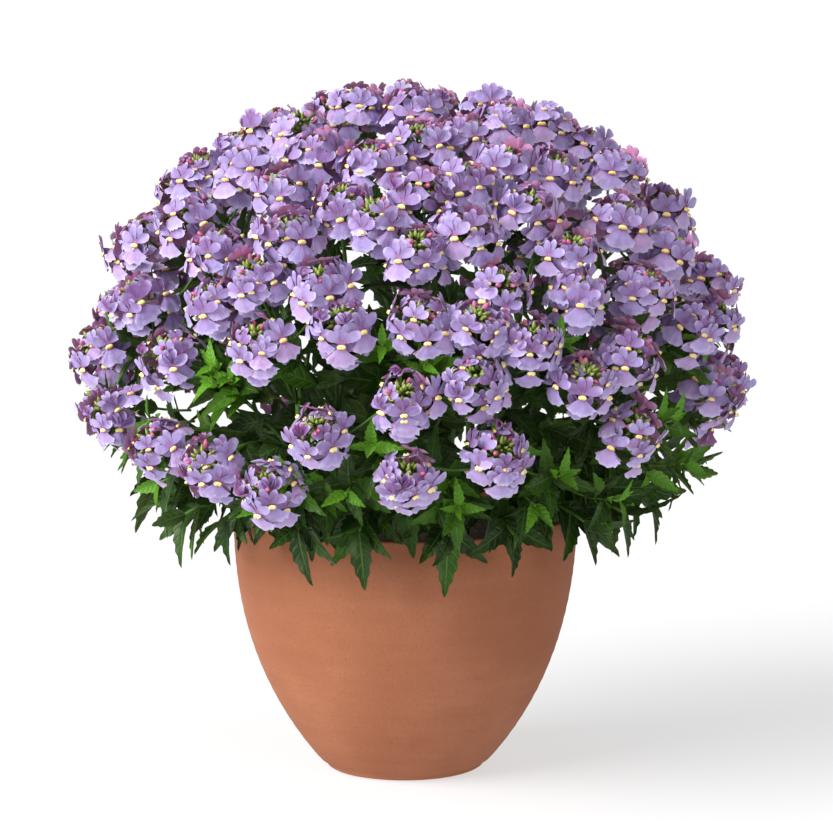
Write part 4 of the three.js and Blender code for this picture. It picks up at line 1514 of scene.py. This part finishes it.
@dataclass
class Pot:
    """A turned clay pot: a flat foot, a belly that swells upwards and a plain rim."""

    height: float = 141.7 * MM
    rim: float = 92.9 * MM
    foot: float = 42 * MM
    wall: float = 6 * MM
    floor: float = 8 * MM
    rise: float = 2.3
    round: float = 0.92
    edge: float = 1.6 * MM
    foot_edge: float = 2.6 * MM
    core: float = 0.4 * MM
    sides: int = 128
    drain_count: int = 3
    drain_radius: float = 5 * MM
    drain_circle: float = 24 * MM

    def radius(self, height: Array) -> Array:
        """Gives the outer radius: foot + (rim - foot) (1 - (1 - h/H)^rise)^round."""
        level = np.clip(height / self.height, 0, 1)
        return self.foot + (self.rim - self.foot) * (1 - (1 - level) ** self.rise) ** self.round

    @staticmethod
    def corner(start: float, middle: tuple[float, float], wide: float, high: float) -> Array:
        """Gives a quarter of an ellipse about its middle, turning left from a starting angle."""
        angle = start + np.linspace(0, np.pi / 2, 6)
        return np.stack([middle[0] + wide * np.cos(angle), middle[1] + high * np.sin(angle)], -1)

    def profile(self) -> Array:
        """Gives the outline from the middle of the base, up the outside and down the inside."""
        heel_in, shoulder = self.foot - self.foot_edge, self.height - self.edge
        out = np.linspace(self.core, heel_in, 8)
        base = np.stack([out, np.zeros_like(out)], -1)
        heel_wide = self.foot_edge + 1.1 * MM
        heel = self.corner(-np.pi / 2, (heel_in, self.foot_edge), heel_wide, self.foot_edge)
        high = np.linspace(self.foot_edge + 2 * MM, shoulder, 46)
        outside = np.stack([self.radius(high), high], -1)
        lip_out = self.corner(0, (self.rim - self.edge, shoulder), self.edge, self.edge)
        inner = self.rim - self.wall + self.edge
        lip_in = self.corner(np.pi / 2, (inner, shoulder), self.edge, self.edge)
        down = np.linspace(self.height - 2 * self.edge, self.floor + 3 * MM, 24)
        inside = np.stack([self.radius(down) - self.wall, down], -1)
        across = np.linspace(self.foot - self.wall - 1 * MM, self.core, 8)
        bottom = np.stack([across, np.full_like(across, self.floor)], -1)
        return np.concatenate([base, heel[1:], outside, lip_out[1:], lip_in, inside, bottom])

    def build(self, finish: bpy.types.Material) -> None:
        """Turns the pot, cuts its drain holes and makes it a piece."""
        patch = turned(self.profile(), self.sides, np.zeros(len(self.profile())), 0)
        turn, high = np.arctan2(patch.places[:, 1], patch.places[:, 0]), patch.places[:, 2]
        swell = 0.25 * MM * np.sin(2 * turn + 0.7) + 0.12 * MM * np.sin(5 * turn + 60 * high)
        rings = 0.1 * MM * np.sin(high * 900) + 0.07 * MM * np.sin(high * 2100)
        size = np.linalg.norm(patch.places[:, :2], axis=1)
        outer = size > self.foot * 0.98
        patch.places[:, :2] *= 1 + ((swell + rings) * outer / np.maximum(size, 1e-6))[:, None]
        pot = add_piece("clay_pot", patch, [finish], ["pot"])
        for k in range(self.drain_count):
            self._drill(pot, 2 * math.pi * (k + 0.25) / self.drain_count)
        pot.data.uv_layers.remove(pot.data.uv_layers[BAKE_MAP])

    def _drill(self, pot: bpy.types.Object, turn: float) -> None:
        """Cuts one drain hole through the base at an angle."""
        profile = np.array([[self.drain_radius, -5 * MM], [self.drain_radius, self.floor + 5 * MM]])
        plug = turned(profile, 32, np.zeros(2), 0)
        shift = self.drain_circle * np.array([math.cos(turn), math.sin(turn), 0.0])
        mesh = bpy.data.meshes.new("drill")
        mesh.from_pydata((plug.places + shift).tolist(), [], plug.quads.tolist())
        drill = bpy.data.objects.new("drill", mesh)
        bpy.context.scene.collection.objects.link(drill)
        cut = pot.modifiers.new("cut", "BOOLEAN")
        cut.operation = "DIFFERENCE"
        cut.solver = "EXACT"
        cut.object = drill
        bpy.context.view_layer.update()
        holder = pot.evaluated_get(bpy.context.evaluated_depsgraph_get())
        made = bpy.data.meshes.new_from_object(holder)
        pot.modifiers.remove(cut)
        pot.data = made
        bpy.data.objects.remove(drill)


@dataclass
class Soil:
    """The soil that fills the pot, with a crumbly top."""

    pot: Pot
    top: float = 128 * MM
    gap: float = 0.5 * MM
    sides: int = 112
    lump: float = 1.4 * MM

    def build(self, finish: bpy.types.Material) -> None:
        """Turns the soil and roughens its top with sines of different slants."""
        low = self.pot.floor + self.gap
        high = np.linspace(low + 2 * MM, self.top - 2 * MM, 14)
        side = np.stack([self.pot.radius(high) - self.pot.wall - self.gap, high], -1)
        rings = np.linspace(1, 0.01, 44)
        edge = side[-1, 0]
        crown = np.stack([rings * edge, np.full_like(rings, self.top)], -1)
        base = np.array([[0.5 * MM, low], [side[0, 0] - 6 * MM, low]])
        profile = np.concatenate([base, side, crown])
        patch = turned(profile, self.sides, np.zeros(len(profile)), 0)
        x, y = patch.places[:, 0], patch.places[:, 1]
        on_top = patch.places[:, 2] >= self.top - 0.1 * MM
        height = np.zeros(len(x))
        draw = np.random.default_rng(8)
        for wave, share in ((0.03, 0.5), (0.011, 0.5), (0.006, 0.4), (0.0035, 0.35)):
            for slant in draw.uniform(0, np.pi, 3):
                phase = draw.uniform(0, 6.28)
                across = x * math.cos(slant) + y * math.sin(slant)
                height += share * np.sin(2 * np.pi * across / wave + phase)
        patch.places[:, 2] += np.where(on_top, self.lump * 0.5 * height, 0)
        add_piece("soil_fill", patch, [finish], ["soil"])


# The studio


@dataclass
class Studio:
    """The camera, the soft lights and the pale floor."""

    view: View = field(default_factory=View)
    sensor: float = 36.0
    picture: int = 833
    look_height: float = 0.2
    floor_reach: float = 12.0
    sky: float = 0.42

    def camera(self) -> None:
        """Sets the camera where the view looks from."""
        data = bpy.data.cameras.new("camera")
        data.sensor_width = self.sensor
        data.lens = self.sensor * self.view.distance / (self.picture * self.view.scale)
        data.clip_end = 50.0
        camera = bpy.data.objects.new("camera", data)
        camera.location = tuple(self.view.eye)
        camera.rotation_euler = (math.pi / 2 - self.view.tilt, 0.0, 0.0)
        bpy.context.scene.collection.objects.link(camera)
        bpy.context.scene.camera = camera

    def lamp(
        self, name: str, kind: str, place: tuple[float, float, float], power: float, **settings: float | str
    ) -> None:
        """Adds a soft lamp that looks at the plant.

        Args:
            name: the lamp's name.
            kind: the type of light.
            place: where it stands.
            power: its strength.
            settings: its own values, such as its size.
        """
        data = bpy.data.lights.new(name, kind)
        data.energy = power
        for key, value in settings.items():
            setattr(data, key, value)
        lamp = bpy.data.objects.new(name, data)
        lamp.location = place
        away = np.array(place) - np.array([0.0, 0.0, self.look_height])
        level = math.hypot(away[0], away[1])
        lamp.rotation_euler = (math.atan2(level, away[2]), 0.0, math.atan2(away[0], -away[1]))
        bpy.context.scene.collection.objects.link(lamp)

    def floor(self, finish: bpy.types.Material) -> None:
        """Lays a wide floor that isn't part of the object."""
        mesh = bpy.data.meshes.new("floor")
        signs = ((-1, -1, 0), (1, -1, 0), (1, 1, 0), (-1, 1, 0))
        mesh.from_pydata((self.floor_reach * np.array(signs)).tolist(), [], [(0, 1, 2, 3)])
        mesh.materials.append(finish)
        floor = bpy.data.objects.new("floor", mesh)
        bpy.context.scene.collection.objects.link(floor)

    def build(self) -> None:
        """Sets up the whole studio."""
        self.camera()
        self.lamp("key", "SUN", (-0.8, -0.42, 0.74), 5.2, angle=0.85)
        self.lamp("fill", "AREA", (1.3, -2.2, 1.0), 12.5, shape="SQUARE", size=1.2)
        self.floor(FloorFinish().material())
        world = bpy.data.worlds.new("studio")
        world.use_nodes = True
        background = world.node_tree.nodes["Background"]
        background.inputs["Color"].default_value = (1.0, 1.0, 1.0, 1.0)
        background.inputs["Strength"].default_value = self.sky
        scene = bpy.context.scene
        scene.world = world
        scene.view_settings.view_transform = "Standard"


def make_finishes() -> dict[str, list[bpy.types.Material]]:
    """Makes all the plant's finishes.

    Returns:
        The materials of each kind of piece, in the order of its finish numbers.
    """
    petal = PetalFinish(
        "petal_front",
        young=display(114, 66, 130),
        full=display(158, 142, 196),
        blushed=display(196, 150, 194),
        edge=display(198, 190, 228),
        vein=display(116, 66, 132),
        throat_tint_and_shade=0.55,
    )
    petal_back = PetalFinish(
        "petal_back",
        young=display(206, 116, 160),
        full=display(202, 142, 188),
        blushed=display(206, 144, 180),
        edge=display(206, 178, 214),
        vein=display(198, 104, 150),
        throat_tint_and_shade=0.5,
    )
    tube = StalkFinish(
        "floret_tube", display(120, 140, 80), display(150, 100, 150), display(190, 110, 150)
    )
    leaf = LeafFinish(
        "leaf_face",
        dark=display(6, 21, 1),
        green=display(36, 67, 6),
        young=display(92, 148, 30),
        rib=display(92, 128, 58),
    )
    leaf_back = LeafFinish(
        "leaf_back",
        dark=display(38, 58, 20),
        green=display(70, 98, 40),
        young=display(116, 158, 66),
        rib=display(128, 154, 100),
        rough=0.6,
        relief=0.3 * MM,
    )
    stem = StalkFinish("stem_green", display(44, 76, 22), display(80, 116, 40), display(130, 150, 66))
    bud = StalkFinish("bud_green", display(70, 88, 34), display(132, 152, 66), display(186, 198, 116))
    pink = StalkFinish("bud_pink", display(112, 84, 60), display(170, 76, 110), display(206, 120, 160))
    return {
        "petals": [petal.material(), petal_back.material(), PalateFinish().material(), tube.material()],
        "buds": [bud.material(), pink.material(), stem.material()],
        "leaves": [leaf.material(), leaf_back.material(), stem.material()],
    }


def main() -> None:
    """Builds the plant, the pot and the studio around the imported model."""
    logging.basicConfig(level=logging.INFO, format="%(name)s: %(message)s")
    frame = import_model()
    studio = Studio()
    studio.build()
    heads = Heads()
    sectors = Sectors()
    sprays = find_sprays(frame["nodes"], heads)
    finishes = make_finishes()
    FlowerHeads(heads, sprays, sectors).build(finishes)
    Foliage(heads, sprays, sectors).build(finishes["leaves"])
    pot = Pot()
    pot.build(TerracottaFinish().material())
    Soil(pot).build(SoilFinish().material())


if __name__ == "__main__":
    main()
